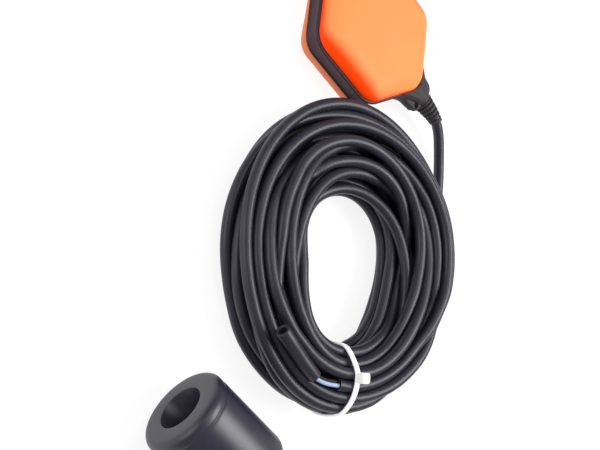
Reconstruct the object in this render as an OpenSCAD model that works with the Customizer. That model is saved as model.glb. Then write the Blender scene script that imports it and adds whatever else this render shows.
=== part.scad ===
// Cable float switch (level regulator): hexagonal float, coiled supply cable with a
// nylon tie, and the loose counterweight that is slid on to the cable.
// The float lies on its rear cover, nose and cable gland toward +X, at the origin.

/* [Float] */
// Width of the float over its two long sides
float_w = 82; // [76:1:92]
// Length of each long side, between sharp corners
side_l = 57; // [54:1:66]
// From the long sides to the sharp nose at the cable gland
nose_l = 30; // [27:1:34]
// From the long sides to the sharp tail
tail_l = 22; // [18:1:26]
// Height of each orange cover
cover_h = 10; // [9:0.5:13]
// Height of each cover at the nose and the tail
tip_h = 4; // [3:0.5:6]
// Height of the black frame between the covers
frame_h = 12.5; // [12:0.5:16]
// Wall of the covers
cover_wall = 2.2; // [1.6:0.1:2.4]
// Wall of the frame
frame_wall = 3; // [2.4:0.1:4]
// How far the frame's two lips stand out
lip_out = 0.7; // [0.3:0.1:1.2]
// Height of a lip
lip_h = 1.2; // [0.8:0.1:2]
// Radius of the four side corners
corner_r = 20; // [16:1:22]
// Radius of the nose and the tail
tip_r = 11; // [8:1:13]
// Radius of the covers' outer edges
edge_r = 5; // [3:0.5:6]

/* [Cable gland] */
// From the sharp nose to the gland's outer face
gland_out = 8; // [6:1:12]
// Height of the gland block
gland_h = 17; // [15:0.5:20]
// Thickness of the two fixing ears
ear_t = 8; // [5:0.5:10]
// Spacing of the two ear holes
ear_span = 21; // [20:0.5:26]
// Diameter of an ear hole
ear_hole_d = 4.4; // [3:0.1:5]
// Radius of an ear
ear_r = 5; // [4.5:0.1:6]
// Length of the ribbed strain relief
relief_l = 17; // [14:1:22]
// Diameter of the strain relief at the gland
relief_d = 16; // [14.5:0.5:18]
// Diameter of the strain relief at its end
relief_end_d = 11.4; // [11:0.1:13]
// Number of grooves in the strain relief
relief_grooves = 4; // [2:1:4]

/* [Cable] */
// Diameter of the cable
cable_d = 7.2; // [6.6:0.1:7.4]
// Diameter of one insulated core
core_d = 2.4; // [2:0.1:2.5]
// Length of the loose piece of jacket at the cable's end
slug_l = 35; // [28:1:42]
// Wall of the cable's jacket
jacket_wall = 0.9; // [0.6:0.05:0.9]

/* [Coil] */
// Number of loops in the coil
loops = 22; // [18:2:24]
// Mean radius of a loop
coil_r = 64; // [62:1:68]
// How much longer the coil's long radius is than the mean
coil_oval = 6; // [3:0.5:7]
// Least gap between neighbouring turns
coil_gap = 0.5; // [0.45:0.05:0.8]
// Extra step between turns opposite the tie
coil_fan = 1.2; // [0:0.1:2]
// Height from one layer of turns to the next
layer_step = 8.4; // [8:0.1:9]

/* [Cable tie] */
// Width of the tie's strap
tie_w = 4.8; // [3.6:0.1:5.5]
// Thickness of the strap
tie_t = 1.3; // [1:0.1:1.3]
// Length and width of the tie's head
head_w = 7; // [6:0.1:8]
// Height of the tie's head
head_h = 5; // [4:0.1:6]

/* [Counterweight] */
// Diameter of the counterweight
weight_d = 51; // [46:1:56]
// Length of the counterweight
weight_l = 60; // [52:1:70]
// Diameter of its funnel at the face
mouth_d = 27; // [22:1:30]
// Depth of the funnel
mouth_l = 24; // [20:1:28]
// Diameter of the bore that the cable runs through
weight_bore_d = 9.2; // [8.6:0.1:10]
// Radius of its end edges
weight_edge_r = 5; // [3:0.5:6]
// Wall of the counterweight's shell
weight_wall = 2.5; // [2:0.1:3]

/* [Switch] */
// Diameter of the steel ball
ball_d = 12; // [10:0.5:12]
// Length of the ball's tilting trough
trough_l = 46; // [42:1:46]
// Wall of the trough and of the switch chamber
thin_wall = 1.5; // [1.2:0.1:1.6]
// Angle that the trough tips through, end to end
tip_angle = 10; // [6:1:10]
// Diameter of the trough's pivot pin
pin_d = 2.4; // [2:0.1:2.8]

/* [Hidden] */
$fn = 64;

clear = 0.3;             // running clearance between pieces that move apart
fit = 0.1;               // clearance of a close fit
eps = 0.01;              // overlap of cuts past a face
hull_fn = 32;            // facets of the rounded covers

// float outline: sharp corners, edge normals and the centres of the rounded corners
half_w = float_w / 2;
side_x = side_l / 2;
nose_x = side_x + nose_l;
tail_x = side_x + tail_l;
float_h = 2 * cover_h + frame_h;
mid_z = cover_h + frame_h / 2;
nose_a = atan2(nose_l, half_w);
tail_a = atan2(tail_l, half_w);

// x of the centre of a side corner or a tip, for an end of length l and normal angle a
function corner_x(a) = side_x - corner_r * (1 - sin(a)) / cos(a);
function tip_x(l, a) = side_x + l - tip_r / cos(a);
function arc(c, r, a0, a1, n = 8) =
    [for (i = [0 : n]) c + r * [cos(a0 + (a1 - a0) * i / n), sin(a0 + (a1 - a0) * i / n)]];
corner_y = half_w - corner_r;

// rounded hexagon, grown outward by g
function outline(g) = concat(
    arc([tip_x(nose_l, nose_a), 0], tip_r + g, -nose_a, nose_a),
    arc([corner_x(nose_a), corner_y], corner_r + g, nose_a, 90),
    arc([-corner_x(tail_a), corner_y], corner_r + g, 90, 180 - tail_a),
    arc([-tip_x(tail_l, tail_a), 0], tip_r + g, 180 - tail_a, 180 + tail_a),
    arc([-corner_x(tail_a), -corner_y], corner_r + g, 180 + tail_a, 270),
    arc([corner_x(nose_a), -corner_y], corner_r + g, 270, 360 - nose_a));

module outline_slab(z, h, g = 0) {
    translate([0, 0, z]) linear_extrude(h) polygon(outline(g));
}

// disc with a rounded upper edge, one corner of a cover
module puck(x, y, r, h, e) {
    translate([x, y, 0]) {
        cylinder(r = r, h = h - e, $fn = 2 * hull_fn);
        translate([0, 0, h - e]) rotate_extrude($fn = 2 * hull_fn) {
            square([r - e, e]);
            translate([r - e, 0]) intersection() {
                circle(e, $fn = hull_fn);
                square(e);
            }
        }
    }
}

// solid of a cover standing on its open side, drawn in by g
module cover_solid(g) {
    e = max(edge_r - g, 1);
    hull() {
        for (s = [-1, 1]) {
            puck(corner_x(nose_a), s * corner_y, corner_r - g, cover_h - g, e);
            puck(-corner_x(tail_a), s * corner_y, corner_r - g, cover_h - g, e);
        }
        puck(tip_x(nose_l, nose_a), 0, tip_r - g, tip_h - g / 2, min(e, tip_h - g / 2 - 0.5));
        puck(-tip_x(tail_l, tail_a), 0, tip_r - g, tip_h - g / 2, min(e, tip_h - g / 2 - 0.5));
    }
}

module cover() {
    difference() {
        cover_solid(0);
        translate([0, 0, -eps]) cover_solid(cover_wall);
    }
}

module front_cover() {
    color([0.98, 0.56, 0.27]) translate([0, 0, cover_h + frame_h]) cover();
}

module rear_cover() {
    color([0.92, 0.56, 0.38]) translate([0, 0, cover_h]) mirror([0, 0, 1]) cover();
}

// switch chamber, inside the covers and held by the frame's ribs
chamber_l = trough_l + 2 * clear + 2 * thin_wall + 7;
chamber_w = 42;
chamber_z = cover_wall + 1;
floor_z = chamber_z + thin_wall + 0.5;
chamber_top = float_h - cover_wall - 4.8;
lid_t = 2;
boss_d = 5;
screw_d = 2.4;

// black frame: band with two lips, four ribs to the chamber and the cable's hole
module mid_frame() {
    rib_t = 2;
    color([0.20, 0.17, 0.19]) difference() {
        union() {
            difference() {
                union() {
                    outline_slab(cover_h, frame_h);
                    outline_slab(cover_h, lip_h, lip_out / 2);
                    outline_slab(cover_h + frame_h - lip_h, lip_h, lip_out);
                }
                outline_slab(cover_h - eps, frame_h + 2 * eps, -frame_wall);
            }
            for (x = [-1, 1], s = [-1, 1])
                translate([x * chamber_l / 4 - rib_t / 2, s > 0 ? chamber_w / 2 : -half_w + frame_wall / 2,
                           cover_h + 2])
                    cube([rib_t, half_w - frame_wall / 2 - chamber_w / 2, frame_h - 4]);
        }
        translate([tip_x(nose_l, nose_a), 0, mid_z]) rotate([0, 90, 0])
            cylinder(d = cable_d + 2 * fit, h = tip_r + 2 * lip_out + eps);
    }
}

// gland block on the nose, with two fixing ears and the bore of the cable
gland_x = nose_x + gland_out;
ear_x = gland_x - ear_r;
grommet_d = cable_d + 3.2;
grommet_l = 7;
relief_socket = 3;

module gland_block() {
    color([0.26, 0.24, 0.28]) difference() {
        union() {
            // saddle that wraps the nose
            translate([0, 0, mid_z - gland_h / 2]) linear_extrude(gland_h) polygon([
                [nose_x - 16, -half_w * 0.56], [nose_x - 6, -ear_span / 2 - ear_r],
                [ear_x, -relief_d / 2 - 1], [ear_x, relief_d / 2 + 1],
                [nose_x - 6, ear_span / 2 + ear_r], [nose_x - 16, half_w * 0.56]]);
            // ears
            translate([0, 0, mid_z - ear_t / 2]) linear_extrude(ear_t) {
                polygon([[nose_x - 6, -ear_span / 2 - ear_r], [ear_x, -ear_span / 2 - ear_r],
                         [gland_x, -ear_span / 2], [gland_x, ear_span / 2],
                         [ear_x, ear_span / 2 + ear_r], [nose_x - 6, ear_span / 2 + ear_r]]);
                for (s = [-1, 1]) translate([ear_x, s * ear_span / 2]) circle(ear_r);
            }
            // round neck behind the strain relief
            translate([nose_x - 8, 0, mid_z]) rotate([0, 90, 0])
                cylinder(d1 = gland_h, d2 = relief_d + 1, h = gland_out + 8);
        }
        // seat on the float's nose
        outline_slab(mid_z - gland_h, 2 * gland_h, lip_out + fit);
        for (s = [-1, 1]) translate([ear_x, s * ear_span / 2, mid_z - gland_h])
            cylinder(d = ear_hole_d, h = 2 * gland_h);
        translate([tip_x(nose_l, nose_a), 0, mid_z]) rotate([0, 90, 0])
            cylinder(d = cable_d + 2 * fit, h = nose_x);
        translate([ear_x - grommet_l / 2, 0, mid_z]) rotate([0, 90, 0])
            cylinder(d = grommet_d, h = grommet_l);
        translate([gland_x - relief_socket, 0, mid_z]) rotate([0, 90, 0])
            cylinder(d = relief_end_d, h = relief_socket + eps);
    }
}

module gland_grommet() {
    color([0.12, 0.12, 0.13]) translate([ear_x - grommet_l / 2, 0, mid_z]) rotate([0, 90, 0])
        difference() {
            cylinder(d = grommet_d, h = grommet_l - relief_socket / 2);
            translate([0, 0, -eps]) cylinder(d = cable_d, h = grommet_l + 2 * eps);
        }
}

// strain relief: tapered sleeve, grooved, with a spigot in the gland
relief_x = gland_x + relief_l;

module strain_relief() {
    pitch = (relief_l - 4) / relief_grooves;
    groove_w = pitch * 0.42;
    color([0.27, 0.25, 0.30]) translate([gland_x, 0, mid_z]) rotate([0, 90, 0]) difference() {
        union() {
            translate([0, 0, -relief_socket]) cylinder(d = relief_end_d - 2 * fit, h = relief_socket + eps);
            cylinder(d1 = relief_d, d2 = relief_end_d, h = relief_l);
        }
        for (i = [0 : relief_grooves - 1]) translate([0, 0, 2 + pitch * (i + 0.3)]) difference() {
            cylinder(d = relief_d + 2, h = groove_w);
            translate([0, 0, -eps]) cylinder(d = relief_end_d - 2.4, h = groove_w + 2 * eps);
        }
        translate([0, 0, -relief_socket - eps])
            cylinder(d = cable_d + 2 * fit, h = relief_l + relief_socket + 2 * eps);
    }
}

// switch mechanism: a ball in a trough that tips on a pin and works the microswitch
trough_w = ball_d + 2 + 2 * thin_wall;
pivot_z = floor_z + 2.8;
trough_z = pivot_z + pin_d / 2 + 0.5;
wall_h = ball_d / 2;
rest_tilt = tip_angle / 2;
case_l = 19;
case_w = 6.4;
case_h = 8;
case_x = boss_d + clear - chamber_l / 2;
case_y = trough_w / 2 + 2.5;
case_z = floor_z + 4;
plunger_x = -10;
plunger_y = case_y + case_w / 2;
plunger_travel = (-plunger_x) * 2 * sin(rest_tilt);
plunger_up = plunger_travel + 0.5;
arm_gap = clear + 0.1;
arm_z = (case_z + case_h + plunger_up + arm_gap - pivot_z + plunger_x * sin(rest_tilt)) / cos(rest_tilt);
wire_xy = [[case_x + case_l + 4, 0], [8, 0], [18, 0], [chamber_l / 2 - 1.3, -1.7]];
root_x = nose_x - 16;

module post_row() {
    for (s = [-1, 1]) translate([0, s * (trough_w / 2 + 1.4), 0]) children();
}

module chamber_base() {
    color([0.82, 0.82, 0.80]) difference() {
        union() {
            difference() {
                translate([-chamber_l / 2, -chamber_w / 2, chamber_z])
                    cube([chamber_l, chamber_w, chamber_top - chamber_z]);
                translate([-chamber_l / 2 + thin_wall, -chamber_w / 2 + thin_wall, floor_z])
                    cube([chamber_l - 2 * thin_wall, chamber_w - 2 * thin_wall, chamber_top]);
            }
            for (x = [-1, 1], y = [-1, 1])
                translate([x * (chamber_l - boss_d) / 2, y * (chamber_w - boss_d) / 2, chamber_z])
                    cylinder(d = boss_d, h = chamber_top - chamber_z);
            // bearings of the pivot pin
            post_row() translate([-3, -0.8, floor_z - eps]) cube([6, 1.6, pivot_z - floor_z + 2.4]);
            // ledges under the microswitch
            for (x = [case_x, case_x + case_l - 3])
                translate([x, case_y, floor_z - eps]) cube([3, case_w - 1, case_z - floor_z]);
        }
        translate([0, chamber_w / 2 - thin_wall - 1, pivot_z]) rotate([90, 0, 0])
            cylinder(d = pin_d, h = chamber_w - 2 * thin_wall - 2);
        for (x = [-1, 1], y = [-1, 1])
            translate([x * (chamber_l - boss_d) / 2, y * (chamber_w - boss_d) / 2, chamber_top - 10])
                cylinder(d = screw_d, h = 10 + eps);
        // slot for the three wires
        translate([chamber_l / 2 - thin_wall - eps, plunger_y - 6, case_z - 1])
            cube([thin_wall + 2 * eps, 8, case_h + 2]);
    }
}

module chamber_lid() {
    color([0.74, 0.74, 0.72]) difference() {
        translate([-chamber_l / 2, -chamber_w / 2, chamber_top]) cube([chamber_l, chamber_w, lid_t]);
        for (x = [-1, 1], y = [-1, 1])
            translate([x * (chamber_l - boss_d) / 2, y * (chamber_w - boss_d) / 2, chamber_top - eps])
                cylinder(d = screw_d + 2 * fit, h = lid_t + 2 * eps);
    }
}

module lid_screws() {
    color([0.75, 0.76, 0.78]) for (x = [-1, 1], y = [-1, 1])
        translate([x * (chamber_l - boss_d) / 2, y * (chamber_w - boss_d) / 2, 0]) difference() {
            union() {
                translate([0, 0, chamber_top - 8]) cylinder(d = screw_d, h = 8 + lid_t + eps);
                translate([0, 0, chamber_top + lid_t]) cylinder(d = 4.6, h = 1.6);
            }
            translate([-2, -0.3, chamber_top + lid_t + 1]) cube([4, 0.6, 1]);
        }
}

// trough, tipped so that its gland end is down
module at_rest_tilt() {
    translate([0, 0, pivot_z]) rotate([0, rest_tilt, 0]) translate([0, 0, -pivot_z]) children();
}

module trough() {
    color([0.92, 0.90, 0.84]) at_rest_tilt() difference() {
        union() {
            difference() {
                translate([-trough_l / 2, -trough_w / 2, trough_z]) cube([trough_l, trough_w, thin_wall + wall_h]);
                translate([-trough_l / 2 + thin_wall, -trough_w / 2 + thin_wall, trough_z + thin_wall])
                    cube([trough_l - 2 * thin_wall, trough_w - 2 * thin_wall, wall_h + 1]);
            }
            // hub of the pin
            translate([-2.6, -trough_w / 2, pivot_z - pin_d / 2 - 1])
                cube([5.2, trough_w, trough_z - pivot_z + pin_d / 2 + 1 + eps]);
            // arm over the plunger
            translate([plunger_x - 3, trough_w / 2 - thin_wall, trough_z])
                cube([6, thin_wall, pivot_z + arm_z + 1.8 - trough_z]);
            translate([plunger_x - 3, trough_w / 2 - thin_wall, pivot_z + arm_z])
                cube([6, plunger_y - trough_w / 2 + thin_wall + 1.2, 1.8]);
        }
        translate([0, trough_w, pivot_z]) rotate([90, 0, 0]) cylinder(d = pin_d + 2 * fit, h = 2 * trough_w);
    }
}

module pivot_pin() {
    pin_l = trough_w + 2 * 2.2;
    color([0.72, 0.73, 0.75]) translate([0, pin_l / 2, pivot_z]) rotate([90, 0, 0]) cylinder(d = pin_d, h = pin_l);
}

ball_x = trough_l / 2 - thin_wall - ball_d / 2 - clear;

module steel_ball() {
    color([0.78, 0.79, 0.81]) at_rest_tilt()
        translate([ball_x, 0, trough_z + thin_wall + ball_d / 2 + clear]) sphere(d = ball_d);
}

module switch_case() {
    color([0.16, 0.16, 0.18]) difference() {
        translate([case_x, case_y, case_z]) cube([case_l, case_w, case_h]);
        translate([plunger_x, plunger_y, case_z + case_h - 4]) cylinder(d = 2.6, h = 4 + eps);
        for (x = [4.5, case_l - 4.5]) translate([case_x + x, case_y - eps, case_z + 2]) rotate([-90, 0, 0])
            cylinder(d = 2.2, h = case_w + 2 * eps);
    }
}

module switch_plunger() {
    color([0.75, 0.20, 0.16]) translate([plunger_x, plunger_y, case_z + case_h + plunger_up - 4.2])
        cylinder(d = 2, h = 4.2 - fit);
}

function terminal_z(i) = case_z + 1.4 + 2.6 * i;

module switch_terminals() {
    color([0.80, 0.72, 0.45]) for (i = [0 : 2])
        translate([case_x + case_l, plunger_y - 1.6, terminal_z(i) - 0.3])
            cube([wire_xy[0].x - case_x - case_l, 3.2, 0.6]);
}

// tube swept along a list of points, with level rings and closed ends
function unit(v) = v / norm(v);
function heading(p, i) = unit(p[min(i + 1, len(p) - 1)] - p[max(i - 1, 0)]);
function ring(p, i, r, n) =
    let (t = heading(p, i), side = unit(cross(t, [0, 0, 1])), up = cross(side, t))
    [for (k = [0 : n - 1]) p[i] + r * (side * cos(90 + 360 * k / n) + up * sin(90 + 360 * k / n))];

module tube(p, d, n = 8) {
    m = len(p);
    points = [for (i = [0 : m - 1]) each ring(p, i, d / 2, n)];
    sides = [for (i = [0 : m - 2], k = [0 : n - 1]) each
        [[i * n + k, i * n + (k + 1) % n, (i + 1) * n + k],
         [i * n + (k + 1) % n, (i + 1) * n + (k + 1) % n, (i + 1) * n + k]]];
    start = [for (k = [1 : n - 2]) [0, k + 1, k]];
    end = [for (k = [1 : n - 2]) [(m - 1) * n, (m - 1) * n + k, (m - 1) * n + k + 1]];
    polyhedron(points, concat(sides, start, end));
}

// the three cores lie in a triangle about a centre line
core_pack = core_d / sqrt(3) + fit;
function core_offset(i) = [0, core_pack * cos(90 + 120 * i), core_pack * sin(90 + 120 * i)];
wire_turn = [chamber_l / 2 + 3.7, 8];
wire_join = 3;
function wire_route(i) = concat(
    [for (q = wire_xy) [q.x, plunger_y + q.y, terminal_z((i + 2) % 3)]],
    [[wire_turn.x, wire_turn.y + core_offset(i).y * 2, mid_z + core_offset(i).z * 2]],
    [for (x = [root_x - wire_join, root_x]) [x, core_offset(i).y, mid_z + core_offset(i).z]]);

wire_d = core_d - 0.5;

module wire_brown() { color([0.42, 0.26, 0.16]) tube(wire_route(1), wire_d); }
module wire_black() { color([0.10, 0.10, 0.11]) tube(wire_route(0), wire_d); }
module wire_blue() { color([0.45, 0.60, 0.88]) tube(wire_route(2), wire_d); }

// cable inside the float, the gland and the strain relief
module cable_root() {
    color([0.28, 0.28, 0.31]) translate([root_x, 0, mid_z]) rotate([0, 90, 0])
        cylinder(d = cable_d, h = relief_x - root_x);
}

// coil: the turns spiral in and out in four layers about an oval loop
coil_at = [76, -132];
coil_long = 117;
coil_start = 20;
tie_dir = -58;
layers = 4;
loops_per_layer = loops / layers;
rings_per_loop = 24;
tie_room = tie_t + 2 * clear;

function loop_radius(a) = coil_r + coil_oval * cos(2 * (a - coil_long));
function turn_step(a) = cable_d + coil_gap + coil_fan * (1 - cos(a - tie_dir)) / 2;
// whole turns in from the outside, after t loops
function column(t) = loops_per_layer - abs(t % (2 * loops_per_layer) - loops_per_layer);
// layers climbed after t loops, each in the half turn where the spiral reverses
function climbed(t, k = 1) =
    k >= layers ? 0 : min(max((t - k * loops_per_layer) * 2 + 0.5, 0), 1) + climbed(t, k + 1);
function lifted(a) = tie_room * pow(max(cos(a - tie_dir), 0), 24);
function coil_point(t) =
    let (a = coil_start - 360 * t,
         r = loop_radius(a) + (loops_per_layer / 2 - column(t)) * turn_step(a))
    [coil_at.x + r * cos(a), coil_at.y + r * sin(a), cable_d / 2 + climbed(t) * layer_step + lifted(a)];

coil_line = [for (i = [0 : loops * rings_per_loop]) coil_point(i / rings_per_loop)];
coil_last = len(coil_line) - 1;
coil_in_dir = unit(coil_line[1] - coil_line[0]);
coil_out_dir = unit(coil_line[coil_last] - coil_line[coil_last - 1]);
coil_in = coil_line[0] - coil_in_dir * cable_d;
coil_out = coil_line[coil_last] + coil_out_dir * cable_d;
coil_path = concat([coil_in], coil_line, [coil_out]);

// least distance between points of the coil more than a third of a loop apart, less the cable
coil_least_gap = min([for (i = [0 : coil_last - rings_per_loop / 3])
    min([for (j = [i + rings_per_loop / 3 : coil_last]) norm(coil_line[i] - coil_line[j])])]) - cable_d;
module cable_coil() {
    echo(least_gap_of_the_coil_mm = coil_least_gap);
    color([0.23, 0.23, 0.27]) tube(coil_path, cable_d, 6);
}

// free cable from the strain relief down to the coil
lead_end = 12;
lead_points = [[93, -2, 15.1], [102, -8, 12.9], [110, -16, 9.9], [118, -27, 6.9], [126, -43, 4.8], [135, -62, 3.8]];
lead_route = concat([[relief_x, 0, mid_z], [relief_x + 2, 0, mid_z]], lead_points,
                    [coil_in - coil_in_dir * lead_end, coil_in - coil_in_dir * eps]);

module cable_lead() {
    color([0.28, 0.28, 0.31]) tube(lead_route, cable_d);
}

// free cable over the top of the coil, under the tie, to the bared cores
tail_z = cable_d + climbed(loops) * layer_step + cable_d / 2 + 3 * clear;
climb_points = [[158, -128, tail_z - 5.2], [156, -146, tail_z - 0.8]];
tail_points = [[145.5, -163], [131, -178.5], [118, -190], [111.5, -196]];
tail_end = [105.6, -200.7];
window_points = [[104.7, -201.1], [97, -204.6]];
function on_coil(q) = [q.x, q.y, tail_z + lifted(atan2(q.y - coil_at.y, q.x - coil_at.x))];
tail_route = concat([coil_out + coil_out_dir * eps, coil_out + coil_out_dir * 6], climb_points,
                    [for (q = tail_points) on_coil(q)], [on_coil(tail_end)]);

module cable_tail() {
    color([0.23, 0.23, 0.27]) tube(tail_route, cable_d);
}

// loose jacket pushed along the bared cores, hollow at its open end
slug_start = [87, -207, tail_z];
slug_dir = unit([-34.4, 6.8, 0]);
slug_a = atan2(slug_dir.y, slug_dir.x);
core_recess = 6;

module jacket_slug() {
    color([0.30, 0.30, 0.33]) translate(slug_start) rotate([0, 90, slug_a]) difference() {
        cylinder(d = cable_d, h = slug_l);
        translate([0, 0, -eps]) cylinder(d = cable_d - 2 * jacket_wall, h = slug_l + 2 * eps);
    }
}

core_line = concat([for (q = window_points) on_coil(q)],
                   [for (x = [-2, 3, slug_l - core_recess]) slug_start + slug_dir * x]);
function core_route(i) = [for (k = [0 : len(core_line) - 1])
    let (t = heading(core_line, k), side = unit(cross(t, [0, 0, 1])), a = 30 + 120 * i)
    core_line[k] + (core_pack - fit) * (side * cos(a) + cross(side, t) * sin(a))];

module core_brown() { color([0.32, 0.22, 0.15]) tube(core_route(0), core_d - fit); }
module core_blue() { color([0.67, 0.78, 0.92]) tube(core_route(1), core_d - fit); }
module core_black() { color([0.10, 0.10, 0.11]) tube(core_route(2), core_d - fit); }

// nylon tie round the coil and the cable that lies on it
tie_mid_r = loop_radius(tie_dir);
tie_half = loops_per_layer / 2 * turn_step(tie_dir);
tie_low = cable_d / 2 + tie_t + clear;
tie_high = cable_d / 2 + lifted(tie_dir) + climbed(loops) * layer_step;
tie_tail_r = 71.7;
tie_tail_z = tail_z + lifted(tie_dir);

module tie_section(g) {
    hull() {
        for (s = [-1, 1], z = [tie_low, tie_high])
            translate([tie_mid_r + s * tie_half, z]) circle(cable_d / 2 + clear - fit + g, $fn = hull_fn);
        translate([tie_tail_r, tie_tail_z]) circle(cable_d / 2 + clear - fit + g, $fn = hull_fn);
    }
}

module cable_tie() {
    top = tie_tail_z + cable_d / 2 + clear + tie_t - 2 * fit;
    color([0.95, 0.95, 0.94]) translate([coil_at.x, coil_at.y, 0]) rotate([0, 0, tie_dir]) {
        translate([0, tie_w / 2, 0]) rotate([90, 0, 0]) linear_extrude(tie_w) difference() {
            tie_section(tie_t);
            tie_section(0);
        }
        // head, with the strap's slot
        translate([tie_tail_r - head_w / 2, -head_w / 2, top - tie_t / 3]) difference() {
            cube([head_w, head_w, head_h]);
            translate([-eps, (head_w - tie_w) / 2, tie_t]) cube([head_w + 2 * eps, tie_w, tie_t]);
            translate([0, -eps, head_h]) rotate([0, 45, 0]) translate([-1, 0, -1]) cube([2, head_w + 1, 2]);
            translate([head_w, -eps, head_h]) rotate([0, 45, 0]) translate([-1, 0, -1]) cube([2, head_w + 1, 2]);
        }
    }
}

// counterweight, lying on its side with the funnel's face toward -X
weight_at = [30, -267];
weight_yaw = -4;
cap_t = weight_edge_r + 1;
step_out = 0.5;
bore_r = weight_bore_d / 2;
ballast_gap = 0.4;

module at_weight() {
    translate([weight_at.x, weight_at.y, weight_d / 2]) rotate([0, 90, weight_yaw]) children();
}

// half section of the whole counterweight, rounded at both ends
module weight_section() {
    r = weight_d / 2;
    e = weight_edge_r;
    translate([0, e]) square([r, weight_l - 2 * e]);
    square([r - e, weight_l]);
    for (y = [e, weight_l - e]) translate([r - e, y]) circle(e);
}

module funnel_section(g) {
    polygon([[0, -1], [mouth_d / 2 + g, -1], [mouth_d / 2 + g, 0], [bore_r + g, mouth_l],
             [bore_r + g, weight_l + 1], [0, weight_l + 1]]);
}

module weight_shell() {
    color([0.33, 0.32, 0.37]) at_weight() rotate_extrude() {
        // outer wall and far end
        difference() {
            intersection() {
                weight_section();
                translate([0, cap_t]) square([weight_d, weight_l]);
            }
            translate([0, cap_t - 1]) square([weight_d / 2 - weight_wall, weight_l - cap_t - weight_wall + 1]);
            square([bore_r, weight_l + 1]);
        }
        // tube round the bore
        translate([bore_r, mouth_l]) square([weight_wall, weight_l - mouth_l]);
    }
}

module weight_cap() {
    color([0.36, 0.36, 0.41]) at_weight() rotate_extrude() difference() {
        union() {
            intersection() {
                weight_section();
                square([weight_d / 2 - step_out, cap_t]);
            }
            intersection() {
                funnel_section(weight_wall);
                square([weight_d, mouth_l]);
            }
        }
        funnel_section(0);
    }
}

module weight_ballast() {
    color([0.45, 0.43, 0.42]) at_weight() rotate_extrude() difference() {
        translate([0, cap_t + ballast_gap])
            square([weight_d / 2 - weight_wall - ballast_gap, weight_l - cap_t - weight_wall - 2 * ballast_gap]);
        funnel_section(weight_wall + ballast_gap);
    }
}

front_cover();
rear_cover();
mid_frame();
gland_block();
gland_grommet();
strain_relief();
chamber_base();
chamber_lid();
lid_screws();
trough();
pivot_pin();
steel_ball();
switch_case();
switch_plunger();
switch_terminals();
wire_brown();
wire_black();
wire_blue();
cable_root();
cable_lead();
cable_coil();
cable_tail();
core_brown();
core_black();
core_blue();
jacket_slug();
cable_tie();
weight_shell();
weight_cap();
weight_ballast();
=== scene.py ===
"""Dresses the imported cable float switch: float, gland, coiled cable, tie and counterweight.

Lengths inside the classes are millimetres in the row frame; Surface.build turns them into metres.
"""

import logging
import math
from dataclasses import dataclass, field
from enum import Enum

import bmesh
import bpy
import numpy as np
from mathutils import Matrix
from numpy.typing import NDArray

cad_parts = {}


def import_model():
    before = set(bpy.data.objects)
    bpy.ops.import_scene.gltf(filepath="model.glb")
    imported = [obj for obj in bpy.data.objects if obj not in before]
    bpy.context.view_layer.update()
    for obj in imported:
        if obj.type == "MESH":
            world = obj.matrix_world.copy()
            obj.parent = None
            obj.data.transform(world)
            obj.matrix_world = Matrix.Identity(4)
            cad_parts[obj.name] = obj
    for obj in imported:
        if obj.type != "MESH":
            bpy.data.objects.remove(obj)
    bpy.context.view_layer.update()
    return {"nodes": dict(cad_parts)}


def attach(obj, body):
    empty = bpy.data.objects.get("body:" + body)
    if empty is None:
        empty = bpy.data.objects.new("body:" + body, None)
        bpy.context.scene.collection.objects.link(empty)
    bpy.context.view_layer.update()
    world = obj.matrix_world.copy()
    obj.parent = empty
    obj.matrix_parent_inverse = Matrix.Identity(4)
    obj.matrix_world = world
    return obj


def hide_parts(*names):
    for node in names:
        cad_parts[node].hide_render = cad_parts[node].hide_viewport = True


Array = NDArray[np.float64]
Indices = NDArray[np.int64]
Colour = tuple[float, float, float]
Point = tuple[float, float, float]

MM = 0.001
WELD = 2e-6
TAU = 2 * math.pi
log = logging.getLogger("float_switch")


class Body(Enum):
    """CAD bodies that new pieces ride on."""

    FLOAT = "float"
    WEIGHT = "counterweight"


class Slot(Enum):
    """Material slots of the record."""

    ORANGE = "cover_orange"
    FRAME = "frame_black"
    GLAND = "gland_black"
    CABLE = "cable_black"
    BROWN = "core_brown"
    BLACK = "core_black"
    BLUE = "core_blue"
    NYLON = "nylon_white"
    WEIGHT = "weight_grey"


# ---------------------------------------------------------------- numbers


def unit(vectors: Array) -> Array:
    """Scales each vector of the last axis to length one.

    Args:
        vectors: Array of vectors.

    Returns:
        Array of the same shape.
    """
    return vectors / np.maximum(np.linalg.norm(vectors, axis=-1, keepdims=True), 1e-12)


def ease(x: Array | float, low: float, high: float) -> Array:
    """Smooth step: 0 below low, 1 above high, 3t^2 - 2t^3 between."""
    t = np.clip((np.asarray(x, float) - low) / (high - low), 0, 1)
    return t * t * (3 - 2 * t)


def hump(angle: Array, centre: float, width: float) -> Array:
    """Bell curve of an angle about a centre, exp(-(d / width)^2) with d wrapped to half a turn."""
    gap = (angle - centre + math.pi) % TAU - math.pi
    return np.exp(-((gap / width) ** 2))


def catmull(knots: Array, at: Array) -> Array:
    """Catmull-Rom curve through knots.

    Args:
        knots: Points (k, c) that the curve passes.
        at: Places along the curve, 0 at the first knot and k - 1 at the last.

    Returns:
        Points (len(at), c).
    """
    last = len(knots) - 1
    cell = np.clip(np.floor(at).astype(int), 0, last - 1)
    f = (at - cell)[:, None]
    a, b, c, d = (knots[np.clip(cell + j, 0, last)] for j in (-1, 0, 1, 2))
    return 0.5 * (2 * b + (c - a) * f + (2 * a - 5 * b + 4 * c - d) * f**2 + (3 * b - a - 3 * c + d) * f**3)


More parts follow.
